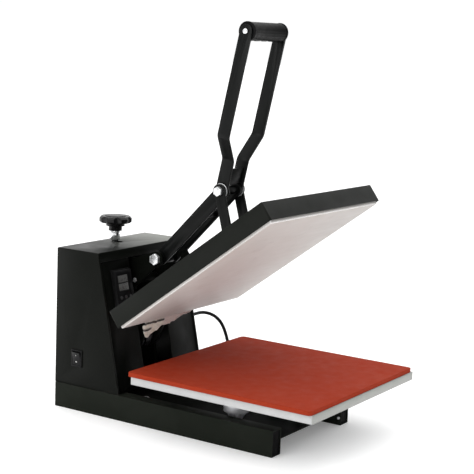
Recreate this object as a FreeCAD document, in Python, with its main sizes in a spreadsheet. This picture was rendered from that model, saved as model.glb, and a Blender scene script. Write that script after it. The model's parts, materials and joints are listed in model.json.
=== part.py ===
import FreeCAD, Part

# Clamshell heat press with a 380 x 380 mm lower platen.
#
# Frame: millimetres, +Z up, the operator stands at -Y and looks along +Y, +X is to the
# operator's right. The origin is on the bench, under the middle of the machine.
# The press is drawn open. Everything that rides on the upper platen is drawn shut, level
# on the pad, and then swung open about the main hinge.

import math
import os

import Sketcher
from FreeCAD import Placement, Rotation, Vector

# Name, value in millimetres or degrees, and what it is.
SIZES = [
    # base
    ("rail_width", 29, "base rail, across"),
    ("rail_height", 48, "base rail, up"),
    ("rail_wall", 2, "base rail wall"),
    ("rail_outside", 138.5, "middle of the machine to a rail's outer face"),
    ("rail_front", -197, "front end of the rails"),
    ("rail_back", 300, "rear end of the rails"),
    ("cap_recess", 1.5, "end cap below the mouth of the rail"),
    ("cap_depth", 12, "end cap"),
    ("deck_top", 31, "top of the deck between the rails"),
    ("deck_sheet", 3, "deck sheet"),
    ("deck_lip", 15, "upstand of the deck against each rail"),
    ("screw_front", -192.4, "screw that holds a front end cap"),
    ("screw_rear", 293, "screw that holds a rear end cap"),
    ("screw_up", 14, "height of the end cap screws"),
    ("screw_radius", 1.5, "end cap screw"),
    ("screw_head", 3, "end cap screw head, radius"),
    ("screw_proud", 1.2, "end cap screw head, thickness"),
    # lower platen
    ("platen_side", 380, "lower platen, square"),
    ("platen_front", -303.5, "front edge of the lower platen"),
    ("platen_top", 108.4, "top of the lower platen"),
    ("platen_thick", 15.6, "lower platen"),
    ("pad_thick", 7.8, "silicone pad"),
    ("pad_side", 384, "silicone pad, square"),
    ("pad_corner", 3, "silicone pad corner radius"),
    ("pad_shift_x", -3, "pad lies a little to the left"),
    ("pad_shift_y", 3.6, "and a little to the rear"),
    ("post_hub", 23.5, "support post, hub radius"),
    ("post_neck", 53, "underside of the support post's hub"),
    ("post_foot", 5.5, "support post, foot radius"),
    ("post_waist", 6.5, "support post, core under the hub"),
    ("fin_reach", 20, "support post fin, at the hub"),
    ("fin_thick", 3, "support post fin"),
    ("fin_turn", 25, "support post fins, turned from the sides"),
    # hinges, seen from the side
    ("hinge_y", 203.9, "main hinge"),
    ("hinge_z", 123.6, "main hinge"),
    ("opening", 36.5, "angle that the platen is open"),
    ("lever_y", 142, "lever pivot"),
    ("lever_z", 296, "lever pivot"),
    ("elbow_y", 4, "elbow, with the press open"),
    ("elbow_z", 440, "elbow, with the press open"),
    ("crown_y", -112.8, "platen pivot, with the press shut"),
    ("crown_z", 175, "platen pivot, with the press shut"),
    # pivot frame
    ("cheek_in", 30, "inside face of a pivot plate"),
    ("cheek_out", 36, "outside face of a pivot plate"),
    ("cheek_foot", 62, "edge of a pivot plate's foot"),
    ("cheek_nose", 15, "pivot plate round the lever pivot"),
    ("shaft_radius", 8, "main hinge shaft"),
    ("shaft_half", 41, "main hinge shaft, half length"),
    ("collar_radius", 13, "main hinge shaft collar"),
    ("spreader_radius", 8, "spreader between the pivot plates"),
    ("spreader_screw", 4.5, "spreader screw head, radius"),
    ("spreader_proud", 2, "spreader screw head, thickness"),
    ("running", 0.05, "radial clearance of a turning fit"),
    ("gap", 0.3, "side clearance between moving plates"),
    # housing
    ("shell_half", 137, "middle to the side wall's outer face"),
    ("shell_top", 312, "top of the housing"),
    ("shell_rear", 300.6, "rear edge of the side walls"),
    ("shell_front_low", 145.5, "front edge of the side walls, bottom"),
    ("shell_front_high", 202.2, "front edge of the side walls, top"),
    ("sheet", 1.6, "housing sheet"),
    ("return_width", 4, "folded front edge of a side wall"),
    ("flange_height", 18, "folded front edge of the top"),
    ("slot_half", 47, "front opening, half width"),
    ("slot_low", 72, "front opening, bottom"),
    ("slot_high", 297, "front opening, top"),
    ("panel_set", 1.7, "front panel behind the folded edges"),
    ("top_slot", 8, "slot for the pressure screw, end radius"),
    ("top_slot_front", 260.5, "slot for the pressure screw, front centre"),
    ("top_slot_back", 270.5, "slot for the pressure screw, rear centre"),
    ("rear_sheet", 1.4, "rear panel"),
    ("rear_screw", 4, "rear panel screw head, radius"),
    # controller
    ("case_x", -79.5, "controller, middle"),
    ("case_z", 237, "controller, middle"),
    ("case_wide", 50, "controller"),
    ("case_tall", 74, "controller"),
    ("case_proud", 6, "controller in front of the housing"),
    ("case_deep", 32, "controller behind the face"),
    ("rim_extra", 2.5, "controller rim beyond the case"),
    ("window_wide", 28.5, "display window"),
    ("window_tall", 13.6, "display window"),
    ("window_shift", -2.5, "display windows, off the controller's middle"),
    ("window_upper", 21, "upper window above the middle"),
    ("window_lower", 5.5, "lower window above the middle"),
    ("button_radius", 3, "controller button"),
    ("button_proud", 1.2, "controller button"),
    ("button_long", 3.6, "controller button"),
    ("button_well", 4, "well behind a controller button"),
    ("button_pitch", 14, "between controller buttons"),
    ("button_row", -14.5, "controller buttons, from the middle"),
    ("button_play", 0.2, "round a controller button"),
    # power switch
    ("switch_y", 248, "power switch, middle"),
    ("switch_z", 102.5, "power switch, middle"),
    ("switch_wide", 26, "power switch bezel"),
    ("switch_tall", 33, "power switch bezel"),
    ("bezel_thick", 2, "power switch bezel"),
    ("rocker_wide", 18.6, "rocker"),
    ("rocker_half", 12.4, "rocker, half height"),
    ("rocker_pin", 1.5, "rocker trunnion, radius"),
    ("rocker_pin_out", 0.4, "rocker trunnion beyond the rocker's side"),
    ("rocker_tilt", 8, "rocker rests tipped by this"),
    # pressure screw
    ("knob_y", 271, "pressure screw"),
    ("knob_low", 350, "underside of the knob's grip"),
    ("knob_high", 363, "top of the knob's grip"),
    ("knob_radius", 32.5, "knob"),
    ("knob_turned", 123, "knob's first hollow, from +X"),
    ("knob_cap", 21, "cap on the knob"),
    ("neck_wide", 18.5, "knob neck, upper step"),
    ("neck_small", 13.3, "knob neck, lower step"),
    ("neck_low", 334, "bottom of the knob's neck"),
    ("sleeve_radius", 9.8, "sleeve under the knob"),
    ("sleeve_low", 314, "bottom of the sleeve"),
    ("thread_radius", 6, "pressure screw"),
    ("thread_low", 245, "tip of the pressure screw"),
    ("nut_low", 262, "pressure nut, bottom"),
    ("nut_high", 280, "pressure nut, top"),
    ("nut_half", 29.6, "pressure nut, half width"),
    # upper platen, shut
    ("face_z", 116.5, "heated face"),
    ("hot_back", 78.2, "rear edge of the heating plate"),
    ("hot_side", 382, "heating plate, square"),
    ("hot_thick", 18, "heating plate"),
    ("cover_side", 392, "platen cover, square"),
    ("cover_low", 120.5, "bottom edge of the cover"),
    ("cover_top", 155, "top of the cover"),
    ("cover_sheet", 1.5, "cover sheet"),
    ("cover_corner", 3, "cover corner radius"),
    ("element_side", 300, "heating element loop"),
    ("element_thick", 8, "heating element"),
    ("wool_thick", 10.5, "insulation blanket"),
    ("beam_in", 23.5, "inside face of a beam plate"),
    ("beam_out", 28.5, "outside face of a beam plate"),
    ("beam_flange", 58, "edge of a beam plate's flange"),
    ("flange_thick", 5, "beam plate flange"),
    ("beam_hub", 12, "hub tube on the main shaft"),
    ("spring_radius", 16.5, "counterbalance spring"),
    ("stop_y", 12, "stop post"),
    ("stop_top", 205, "stop post"),
    ("stud_top", 216, "stop stud"),
    ("bumper_top", 242.5, "rubber bumper"),
    ("bumper_radius", 11, "rubber bumper"),
    # lever
    ("arm_in", 17.5, "inside face of a lever arm"),
    ("arm_out", 22.5, "outside face of a lever arm"),
    ("arm_round", 13.5, "lever arm end radius"),
    ("bar_out", 27.5, "outside face of a handle bar at the elbow"),
    ("bar_round", 12.5, "handle bar end radius"),
    ("washer_out", 28.5, "outside face of the elbow washer"),
    ("washer_radius", 14.5, "elbow washer"),
    ("pin_radius", 5, "elbow and platen pivot pins"),
    ("pivot_radius", 6, "lever pivot bolt"),
    ("tube_radius", 11, "tube round the lever pivot"),
    ("elbow_tube", 9, "tube between the arms at the elbow"),
    ("cross_run", 133, "cross bar, from the lever pivot"),
    ("cross_drop", -4, "cross bar, off the middle of the arms"),
    ("cross_radius", 6, "cross bar"),
    ("link_in", 28.8, "inside face of a link"),
    ("link_out", 33.8, "outside face of a link"),
    ("link_round", 10.3, "link end radius"),
    ("link_eye", 13.5, "link end radius at the elbow"),
    # handle
    ("grip_y", -58.5, "middle of the grip, with the press open"),
    ("grip_z", 733, "middle of the grip, with the press open"),
    ("grip_half", 56, "inside face of a handle bar at the grip"),
    ("grip_radius", 17, "grip"),
    ("joggle_start", 60, "handle bar starts to spread"),
    ("joggle_end", 105, "handle bar is straight again"),
    ("bend_inside", 13, "handle bar, inside radius of a bend"),
    ("bend_outside", 18, "handle bar, outside radius of a bend"),
    ("web_low", 14.5, "handle web, from the elbow"),
    ("web_high", 44, "handle web, from the elbow"),
    ("web_set", 4, "handle web in front of the bar's middle"),
    ("web_thick", 4, "handle web"),
    ("web_lip", 12, "folded lower edge of the web"),
    # mains lead
    ("gland_y", 186, "cord gland"),
    ("gland_z", 150, "cord gland"),
    ("gland_end", 152, "mouth of the gland"),
    ("cord_radius", 3.5, "mains lead"),
    ("coil_x", 196, "coil of spare lead"),
    ("coil_y", 226, "coil of spare lead"),
    ("coil_outer", 47, "coil of spare lead"),
    ("coil_inner", 25, "coil of spare lead"),
    ("coil_height", 14.2, "coil of spare lead, two turns high"),
    ("plug_x", 160, "plug"),
    ("plug_front", 112, "front face of the plug"),
    ("plug_z", 13, "plug"),
]

# Bought fasteners: shank radius, width across flats of the head, head height.
M8 = (4.0, 13.0, 5.5)
M10 = (5.0, 16.0, 6.4)
M12 = (6.0, 19.0, 7.5)

TURN_TO_X = Rotation(Vector(0, 1, 0), 90)
TURN_TO_MINUS_X = Rotation(Vector(0, 1, 0), -90)

doc = FreeCAD.newDocument("HeatPress")
sheet = doc.addObject("Spreadsheet::Sheet", "Sizes")
for row, (alias, number, note) in enumerate(SIZES, start=1):
    sheet.set("A%d" % row, alias)
    sheet.set("B%d" % row, str(number))
    sheet.set("C%d" % row, note)
    sheet.setAlias("B%d" % row, alias)
doc.recompute()


class Size:
    """A number from the sheet, together with the expression that gives it."""

    def __init__(self, value, text=None):
        self.value = float(value)
        self.text = repr(self.value) if text is None else text

    def joined(self, other, sign, value):
        return Size(value, "(%s %s %s)" % (self.text, sign, other.text))

    def __add__(self, other):
        other = as_size(other)
        return self.joined(other, "+", self.value + other.value)

    def __sub__(self, other):
        other = as_size(other)
        return self.joined(other, "-", self.value - other.value)

    def __mul__(self, factor):
        factor = as_size(factor)
        return self.joined(factor, "*", self.value * factor.value)

    def __truediv__(self, divisor):
        divisor = as_size(divisor)
        return self.joined(divisor, "/", self.value / divisor.value)

    def __neg__(self):
        return Size(-self.value, "(0 - %s)" % self.text)

    def __radd__(self, other):
        return as_size(other) + self

    def __rsub__(self, other):
        return as_size(other) - self


def as_size(number):
    return number if isinstance(number, Size) else Size(number)


class Cells:
    """Each alias of the sheet as an attribute."""

    def __init__(self):
        for alias, number, _ in SIZES:
            setattr(self, alias, Size(float(sheet.get(alias)), "Sizes.%s" % alias))


S = Cells()
nodes = []


def keep(thing, name):
    """Register an object as a sub-part: its label names its file."""
    thing.Label = name
    nodes.append(thing)
    return thing


def bind(thing, path, size):
    thing.setExpression(path, as_size(size).text)


# ---------------------------------------------------------------- PartDesign helpers

def new_body(name):
    return doc.addObject("PartDesign::Body", name)


def sketch_on(body, role, offset=0):
    """A sketch on one of the body's own origin planes, moved along its normal."""
    offset = as_size(offset)
    sketch = body.newObject("Sketcher::SketchObject", body.Name + "_sketch")
    plane = [item for item in body.Origin.OriginFeatures if item.Role == role][0]
    sketch.AttachmentSupport = [(plane, "")]
    sketch.MapMode = "FlatFace"
    sketch.AttachmentOffset = Placement(Vector(0, 0, offset.value), Rotation())
    bind(sketch, "AttachmentOffset.Base.z", offset)
    return sketch


def pin_point(sketch, geometry, point, across, up):
    """Fix a point by its two distances from the sketch's origin."""
    for kind, axis, size in (("DistanceX", -2, as_size(across)), ("DistanceY", -1, as_size(up))):
        if size.value == 0:
            sketch.addConstraint(Sketcher.Constraint("PointOnObject", geometry, point, axis))
        else:
            rule = Sketcher.Constraint(kind, -1, 1, geometry, point, size.value)
            number = sketch.addConstraint(rule)
            bind(sketch, "Constraints[%d]" % number, size)


def add_polygon(sketch, corners):
    first = sketch.GeometryCount
    points = [Vector(as_size(a).value, as_size(b).value, 0) for a, b in corners]
    count = len(points)
    for index in range(count):
        line = Part.LineSegment(points[index], points[(index + 1) % count])
        sketch.addGeometry(line, False)
    for index in range(count):
        after = first + (index + 1) % count
        sketch.addConstraint(Sketcher.Constraint("Coincident", first + index, 2, after, 1))
    for index, (across, up) in enumerate(corners):
        pin_point(sketch, first + index, 1, across, up)


def add_circle(sketch, across, up, radius):
    across, up, radius = as_size(across), as_size(up), as_size(radius)
    centre = Vector(across.value, up.value, 0)
    circle = Part.Circle(centre, Vector(0, 0, 1), radius.value)
    number = sketch.addGeometry(circle, False)
    pin_point(sketch, number, 3, across, up)
    rule = sketch.addConstraint(Sketcher.Constraint("Radius", number, radius.value))
    bind(sketch, "Constraints[%d]" % rule, radius)


def add_round_bar(sketch, length, radius):
    """A bar outline with round ends, from the origin along the sketch's first axis."""
    length, radius = as_size(length), as_size(radius)
    run, half = length.value, radius.value
    quarter = math.pi / 2
    up = Vector(0, 0, 1)
    sketch.addGeometry(Part.LineSegment(Vector(0, -half, 0), Vector(run, -half, 0)), False)
    far = Part.Circle(Vector(run, 0, 0), up, half)
    sketch.addGeometry(Part.ArcOfCircle(far, -quarter, quarter), False)
    sketch.addGeometry(Part.LineSegment(Vector(run, half, 0), Vector(0, half, 0)), False)
    near = Part.Circle(Vector(0, 0, 0), up, half)
    sketch.addGeometry(Part.ArcOfCircle(near, quarter, 3 * quarter), False)
    for index in range(4):
        rule = Sketcher.Constraint("Tangent", index, 2, (index + 1) % 4, 1)
        sketch.addConstraint(rule)
    sketch.addConstraint(Sketcher.Constraint("Coincident", 3, 3, -1, 1))
    sketch.addConstraint(Sketcher.Constraint("PointOnObject", 1, 3, -1))
    sketch.addConstraint(Sketcher.Constraint("Equal", 1, 3))
    number = sketch.addConstraint(Sketcher.Constraint("DistanceX", -1, 1, 1, 3, run))
    bind(sketch, "Constraints[%d]" % number, length)
    number = sketch.addConstraint(Sketcher.Constraint("Radius", 3, half))
    bind(sketch, "Constraints[%d]" % number, radius)


def pad(body, sketch, length):
    feature = body.newObject("PartDesign::Pad", body.Name + "_pad")
    feature.Profile = sketch
    feature.Length = as_size(length).value
    bind(feature, "Length", length)
    sketch.Visibility = False
    doc.recompute()
    return feature


def pocket_through(body, sketch):
    """Cut right through, in whichever direction the material lies."""
    before = body.Shape.Volume
    feature = body.newObject("PartDesign::Pocket", body.Name + "_pocket")
    feature.Profile = sketch
    feature.Type = "ThroughAll"
    doc.recompute()
    if body.Shape.Volume > before - 1e-3:
        feature.Reversed = True
        doc.recompute()
    if body.Shape.Volume > before - 1e-3:
        raise RuntimeError("pocket cuts nothing: " + body.Name)
    return feature


def pocket_depth(body, sketch, depth):
    """Cut to a depth, in whichever direction the material lies."""
    before = body.Shape.Volume
    feature = body.newObject("PartDesign::Pocket", body.Name + "_pocket")
    feature.Profile = sketch
    feature.Length = as_size(depth).value
    bind(feature, "Length", depth)
    doc.recompute()
    if body.Shape.Volume > before - 1e-3:
        feature.Reversed = True
        doc.recompute()
    if body.Shape.Volume > before - 1e-3:
        raise RuntimeError("pocket cuts nothing: " + body.Name)
    return feature


def plate_x(body, corners, start, end, circles=()):
    """A plate cut to a side outline (Y, Z), from x = start to x = end."""
    sketch = sketch_on(body, "YZ_Plane", start)
    add_polygon(sketch, corners)
    for circle in circles:
        add_circle(sketch, *circle)
    return pad(body, sketch, as_size(end) - as_size(start))


def disc_x(body, circle, start, end):
    """A disc with its axis along X, from x = start to x = end."""
    sketch = sketch_on(body, "YZ_Plane", start)
    add_circle(sketch, *circle)
    return pad(body, sketch, as_size(end) - as_size(start))


def holes(body, role, circles):
    sketch = sketch_on(body, role)
    for circle in circles:
        add_circle(sketch, *circle)
    return pocket_through(body, sketch)


def block(body, across, along, low, high):
    """A block on the XY plane from two (start, end) pairs and two heights."""
    sketch = sketch_on(body, "XY_Plane", low)
    (left, right), (front, back) = across, along
    add_polygon(sketch, [(left, front), (right, front), (right, back), (left, back)])
    return pad(body, sketch, as_size(high) - as_size(low))


def round_edges(body, radius, wanted):
    """Fillet the edges of the body's tip for which wanted(edge) is true."""
    tip = body.Tip
    names = ["Edge%d" % (n + 1) for n, edge in enumerate(tip.Shape.Edges) if wanted(edge)]
    feature = body.newObject("PartDesign::Fillet", body.Name + "_fillet")
    feature.Base = (tip, names)
    feature.Radius = as_size(radius).value
    bind(feature, "Radius", radius)
    doc.recompute()
    return feature


def runs_along(axis):
    """A test for straight edges along an axis, given as 0, 1 or 2."""
    def test(edge):
        if len(edge.Vertexes) != 2:
            return False
        step = edge.Vertexes[1].Point - edge.Vertexes[0].Point
        rest = [abs(step[n]) for n in range(3) if n != axis]
        return max(rest) < 1e-6 and abs(step[axis]) > 1e-6
    return test


def turned(body, profile):
    """A solid of revolution about the body's Z axis from (radius, height) points."""
    sketch = sketch_on(body, "XZ_Plane")
    add_polygon(sketch, profile)
    feature = body.newObject("PartDesign::Revolution", body.Name + "_turning")
    feature.Profile = sketch
    feature.ReferenceAxis = (sketch, ["V_Axis"])
    feature.Angle = 360
    doc.recompute()
    return feature


# ---------------------------------------------------------------- Part helpers

def place(thing, x, y, z, rotation=None):
    """Put an object at a point given in sheet sizes."""
    spot = [as_size(value) for value in (x, y, z)]
    turn = rotation if rotation is not None else Rotation()
    thing.Placement = Placement(Vector(*[size.value for size in spot]), turn)
    for letter, size in zip("xyz", spot):
        bind(thing, "Placement.Base." + letter, size)
    return thing


def part_box(name, across, along, heights):
    thing = doc.addObject("Part::Box", name)
    spans = [tuple(as_size(value) for value in pair) for pair in (across, along, heights)]
    for side, (start, end) in zip(("Length", "Width", "Height"), spans):
        bind(thing, side, end - start)
    return place(thing, spans[0][0], spans[1][0], spans[2][0])


def part_rod(name, radius, length, x, y, z, rotation=None):
    thing = doc.addObject("Part::Cylinder", name)
    bind(thing, "Radius", radius)
    bind(thing, "Height", length)
    return place(thing, x, y, z, rotation)


def rod_x(name, radius, start, end, y, z):
    """A round bar along X between two positions."""
    start, end = as_size(start), as_size(end)
    return part_rod(name, radius, end - start, start, y, z, TURN_TO_X)


def joined(kind, name, members):
    thing = doc.addObject(kind, name)
    if kind == "Part::Compound":
        thing.Links = members
    elif kind == "Part::Cut":
        thing.Base, thing.Tool = members
    else:
        thing.Shapes = members
    return thing


def tube_x(name, radius, bore, start, end, y, z):
    """A tube along X between two positions."""
    outside = rod_x(name + "_outside", radius, start, end, y, z)
    inside = rod_x(name + "_bore", bore, as_size(start) - 1, as_size(end) + 1, y, z)
    return joined("Part::Cut", name, [outside, inside])


def hexagon(name, across_flats, height):
    thing = doc.addObject("Part::Prism", name)
    thing.Polygon = 6
    thing.Circumradius = across_flats / math.sqrt(3)
    thing.Height = height
    return thing


def hex_bolt(name, thread, shank, x, y, z, rotation=None):
    """A hexagon bolt: its shank runs from the point along the turned Z axis."""
    radius, flats, height = thread
    head = hexagon(name + "_head", flats, height)
    head.Placement = Placement(Vector(0, 0, -height), Rotation())
    body = part_rod(name + "_shank", radius, shank, 0, 0, 0)
    return place(joined("Part::MultiFuse", name, [head, body]), x, y, z, rotation)


def hex_nut(name, thread, x, y, z, rotation=None):
    radius, flats, height = thread
    blank = hexagon(name + "_blank", flats, height)
    bore = part_rod(name + "_bore", radius, height + 2, 0, 0, -1)
    return place(joined("Part::Cut", name, [blank, bore]), x, y, z, rotation)


def swing_open(thing):
    """Turn a piece of the upper platen from shut to open about the main hinge."""
    centre = Vector(0, S.hinge_y.value, S.hinge_z.value)
    turn = Rotation(Vector(1, 0, 0), -S.opening.value)
    opened = Placement(Vector(), turn, centre)
    thing.Placement = opened.multiply(thing.Placement)
    return thing


def mirrored_names(stem):
    """The left and right names of a handed pair, with the sign of X for each."""
    return (("left_" + stem, -1), ("right_" + stem, 1))


def span(sign, near, far):
    """The X span of a plate on one side, low end first."""
    return (near, far) if sign > 0 else (-as_size(far), -as_size(near))


# ---------------------------------------------------------------- base

rail_inside = S.rail_outside - S.rail_width


def base_rails():
    for name, sign in mirrored_names("base_rail"):
        body = new_body(name)
        left, right = span(sign, rail_inside, S.rail_outside)
        sketch = sketch_on(body, "XZ_Plane", -S.rail_back)
        wall, tall = S.rail_wall, S.rail_height
        add_polygon(sketch, [(left, 0), (right, 0), (right, tall), (left, tall)])
        inner_left, inner_right = left + wall, right - wall
        add_polygon(sketch, [(inner_left, wall), (inner_right, wall),
                             (inner_right, tall - wall), (inner_left, tall - wall)])
        pad(body, sketch, S.rail_back - S.rail_front)
        sketch = sketch_on(body, "YZ_Plane", rail_inside * sign)
        for y in (S.screw_front, S.screw_rear):
            add_circle(sketch, y, S.screw_up, S.screw_radius)
        pocket_depth(body, sketch, wall + 1)
        keep(body, name)


def rail_end_caps():
    caps = []
    wall = S.rail_wall
    for sign in (-1, 1):
        left, right = span(sign, rail_inside, S.rail_outside)
        for end, start in (("front", S.rail_front + S.cap_recess),
                           ("rear", S.rail_back - S.cap_recess - S.cap_depth)):
            name = "cap_%s_%d" % (end, sign + 1)
            caps.append(part_box(name, (left + wall, right - wall),
                                 (start, start + S.cap_depth),
                                 (wall, S.rail_height - wall)))
    keep(joined("Part::Compound", "rail_end_caps", caps), "rail_end_caps")


def base_deck():
    body = new_body("base_deck")
    low, top, thick = S.deck_top - S.deck_sheet, S.deck_top, S.deck_sheet
    high = S.deck_top + S.deck_lip
    sketch = sketch_on(body, "XZ_Plane", -S.rail_back)
    add_polygon(sketch, [(-rail_inside, low), (rail_inside, low), (rail_inside, high),
                         (rail_inside - thick, high), (rail_inside - thick, top),
                         (thick - rail_inside, top), (thick - rail_inside, high),
                         (-rail_inside, high)])
    pad(body, sketch, S.rail_back - S.rail_front)
    holes(body, "XY_Plane", [(x, y, M8[0]) for x, y in deck_bolt_spots()])
    keep(body, "base_deck")


def deck_bolt_spots():
    """Bolts through the deck: four through the pivot plates' feet, two in front."""
    feet = [(x, y) for x in (-50, 50) for y in (190, 246)]
    return feet + [(-80, 124), (80, 124)]


def cap_screws():
    """Screws through the rails' inner walls that hold the end caps."""
    screws = []
    for sign, turn in ((-1, TURN_TO_MINUS_X), (1, TURN_TO_X)):
        for end, y in (("front", S.screw_front), ("rear", S.screw_rear)):
            name = "cap_screw_%s_%d" % (end, sign + 1)
            head = part_rod(name + "_head", S.screw_head, S.screw_proud,
                            0, 0, -S.screw_proud)
            shank = part_rod(name + "_shank", S.screw_radius, S.rail_wall, 0, 0, 0)
            screw = joined("Part::MultiFuse", name, [head, shank])
            screws.append(place(screw, rail_inside * sign, y, S.screw_up, turn))
    keep(joined("Part::Compound", "cap_screws", screws), "cap_screws")


def support_posts():
    """Cast posts under the lower platen: a round hub over a finned cone."""
    posts = []
    under = S.platen_top - S.platen_thick
    for number, (x, y) in enumerate([(-88, -88), (88, -88), (0, -175)]):
        body = new_body("support_post_%d" % number)
        turned(body, [(0, S.deck_top), (S.post_foot, S.deck_top),
                      (S.post_waist, S.post_neck), (S.post_hub, S.post_neck),
                      (S.post_hub, under), (0, under)])
        for role in ("XZ_Plane", "YZ_Plane"):
            half = S.fin_thick / 2
            sketch = sketch_on(body, role, -half)
            foot = S.post_foot + 1
            add_polygon(sketch, [(-foot, S.deck_top), (foot, S.deck_top),
                                 (S.fin_reach, S.post_neck), (-S.fin_reach, S.post_neck)])
            pad(body, sketch, S.fin_thick)
        turn = Rotation(Vector(0, 0, 1), S.fin_turn.value)
        posts.append(place(body, x, y, 0, turn))
    keep(joined("Part::Compound", "support_posts", posts), "support_posts")


def lower_platen():
    half = S.platen_side / 2
    front, back = S.platen_front, S.platen_front + S.platen_side
    body = new_body("lower_platen")
    block(body, (-half, half), (front, back), S.platen_top - S.platen_thick, S.platen_top)
    round_edges(body, 1.5, runs_along(2))
    keep(body, "lower_platen")

    body = new_body("silicone_pad")
    low, wide = S.platen_top, S.pad_side / 2
    middle = front + half + S.pad_shift_y
    block(body, (S.pad_shift_x - wide, S.pad_shift_x + wide),
          (middle - wide, middle + wide), low, low + S.pad_thick)
    round_edges(body, S.pad_corner, runs_along(2))
    keep(body, "silicone_pad")


# ---------------------------------------------------------------- pivot frame

def pivot_plates():
    """The two upright plates that carry the main hinge and the lever pivot."""
    nose = S.cheek_nose
    outline = [(262, S.deck_top), (178, S.deck_top), (188, 100), (198, 190),
               (190, 236), (S.lever_y + 10, S.lever_z - 24), (S.lever_y, S.lever_z - nose),
               (S.lever_y + 5, S.lever_z + nose - 0.9), (193, 292.5), (288, 292.5),
               (288, 236), (262, 200)]
    foot_high = S.deck_top + (S.cheek_out - S.cheek_in)
    foot = [(178, S.deck_top), (262, S.deck_top), (262, foot_high), (178, foot_high)]
    for name, sign in mirrored_names("pivot_plate"):
        body = new_body(name)
        start, end = span(sign, S.cheek_in, S.cheek_out)
        plate_x(body, outline, start, end)
        disc_x(body, (S.lever_y, S.lever_z, nose), start, end)
        plate_x(body, foot, *span(sign, S.cheek_out, S.cheek_foot))
        holes(body, "YZ_Plane", [(S.lever_y, S.lever_z, S.pivot_radius),
                                 (S.hinge_y, S.hinge_z, S.shaft_radius)])
        holes(body, "XY_Plane", [(x, y, M8[0]) for x, y in deck_bolt_spots()[:4]
                                 if x * sign > 0])
        keep(body, name)


def pivot_frame_parts():
    rods, bolts = [], []
    for level, y, z in (("low", 242, 62), ("high", 191, 249)):
        rods.append(rod_x("spreader_" + level, S.spreader_radius,
                          -S.cheek_in, S.cheek_in, y, z))
        for sign in (-1, 1):
            name = "spreader_screw_%s_%d" % (level, sign + 1)
            ends = span(sign, S.cheek_out, S.cheek_out + S.spreader_proud)
            bolts.append(rod_x(name, S.spreader_screw, *ends, y, z))
    keep(joined("Part::Compound", "frame_spreaders", rods), "frame_spreaders")

    down = Rotation(Vector(1, 0, 0), 180)
    foot_high = S.deck_top + (S.cheek_out - S.cheek_in)
    for number, (x, y) in enumerate(deck_bolt_spots()):
        top = foot_high if number < 4 else S.deck_top
        long = top - S.deck_top + S.deck_sheet + 6
        bolts.append(hex_bolt("deck_bolt_%d" % number, M8, long, x, y, top, down))
    keep(joined("Part::Compound", "frame_bolts", bolts), "frame_bolts")

    shaft = rod_x("shaft_bar", S.shaft_radius, -S.shaft_half, S.shaft_half,
                  S.hinge_y, S.hinge_z)
    collars = [rod_x("shaft_collar_%d" % (sign + 1), S.collar_radius,
                     *span(sign, S.cheek_out, S.shaft_half), S.hinge_y, S.hinge_z)
               for sign in (-1, 1)]
    keep(joined("Part::MultiFuse", "main_hinge_shaft", [shaft] + collars),
         "main_hinge_shaft")

    bolt = hex_bolt("lever_bolt", M12, S.cheek_out * 2 + 11, -S.cheek_out,
                    S.lever_y, S.lever_z, TURN_TO_X)
    nut = hex_nut("lever_nut", M12, S.cheek_out, S.lever_y, S.lever_z, TURN_TO_X)
    keep(joined("Part::Compound", "lever_pivot_bolt", [bolt, nut]), "lever_pivot_bolt")


def counterbalance_springs():
    """Two close-wound springs round the hub tube, drawn as grooved sleeves."""
    springs = []
    groove, pitch, turns = 1.5, 4.0, 5
    inner = S.beam_hub + 0.5
    for sign in (-1, 1):
        body = new_body("spring_%d" % (sign + 1))
        profile = [(inner, 0)]
        for turn in range(turns):
            profile.append((S.spring_radius - groove, pitch * turn))
            profile.append((S.spring_radius, pitch * turn + pitch / 2))
        profile.append((S.spring_radius - groove, pitch * turns))
        profile.append((inner, pitch * turns))
        turned(body, profile)
        turn = TURN_TO_X if sign > 0 else TURN_TO_MINUS_X
        springs.append(place(body, 2 * sign, S.hinge_y, S.hinge_z, turn))
    keep(joined("Part::Compound", "counterbalance_springs", springs),
         "counterbalance_springs")


# ---------------------------------------------------------------- housing

front_slope = (S.shell_front_high - S.shell_front_low) / (S.shell_top - S.rail_height)


def front_at(height, inset=0):
    """Y of the housing's leaning front face at a height, moved in by an inset."""
    return S.shell_front_low + (as_size(height) - S.rail_height) * front_slope + inset


def leaning_strip(low, high, inset, thick):
    """Side outline of a sheet that follows the front face between two heights."""
    return [(front_at(low, inset), low), (front_at(high, inset), high),
            (front_at(high, as_size(inset) + thick), high),
            (front_at(low, as_size(inset) + thick), low)]


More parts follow.
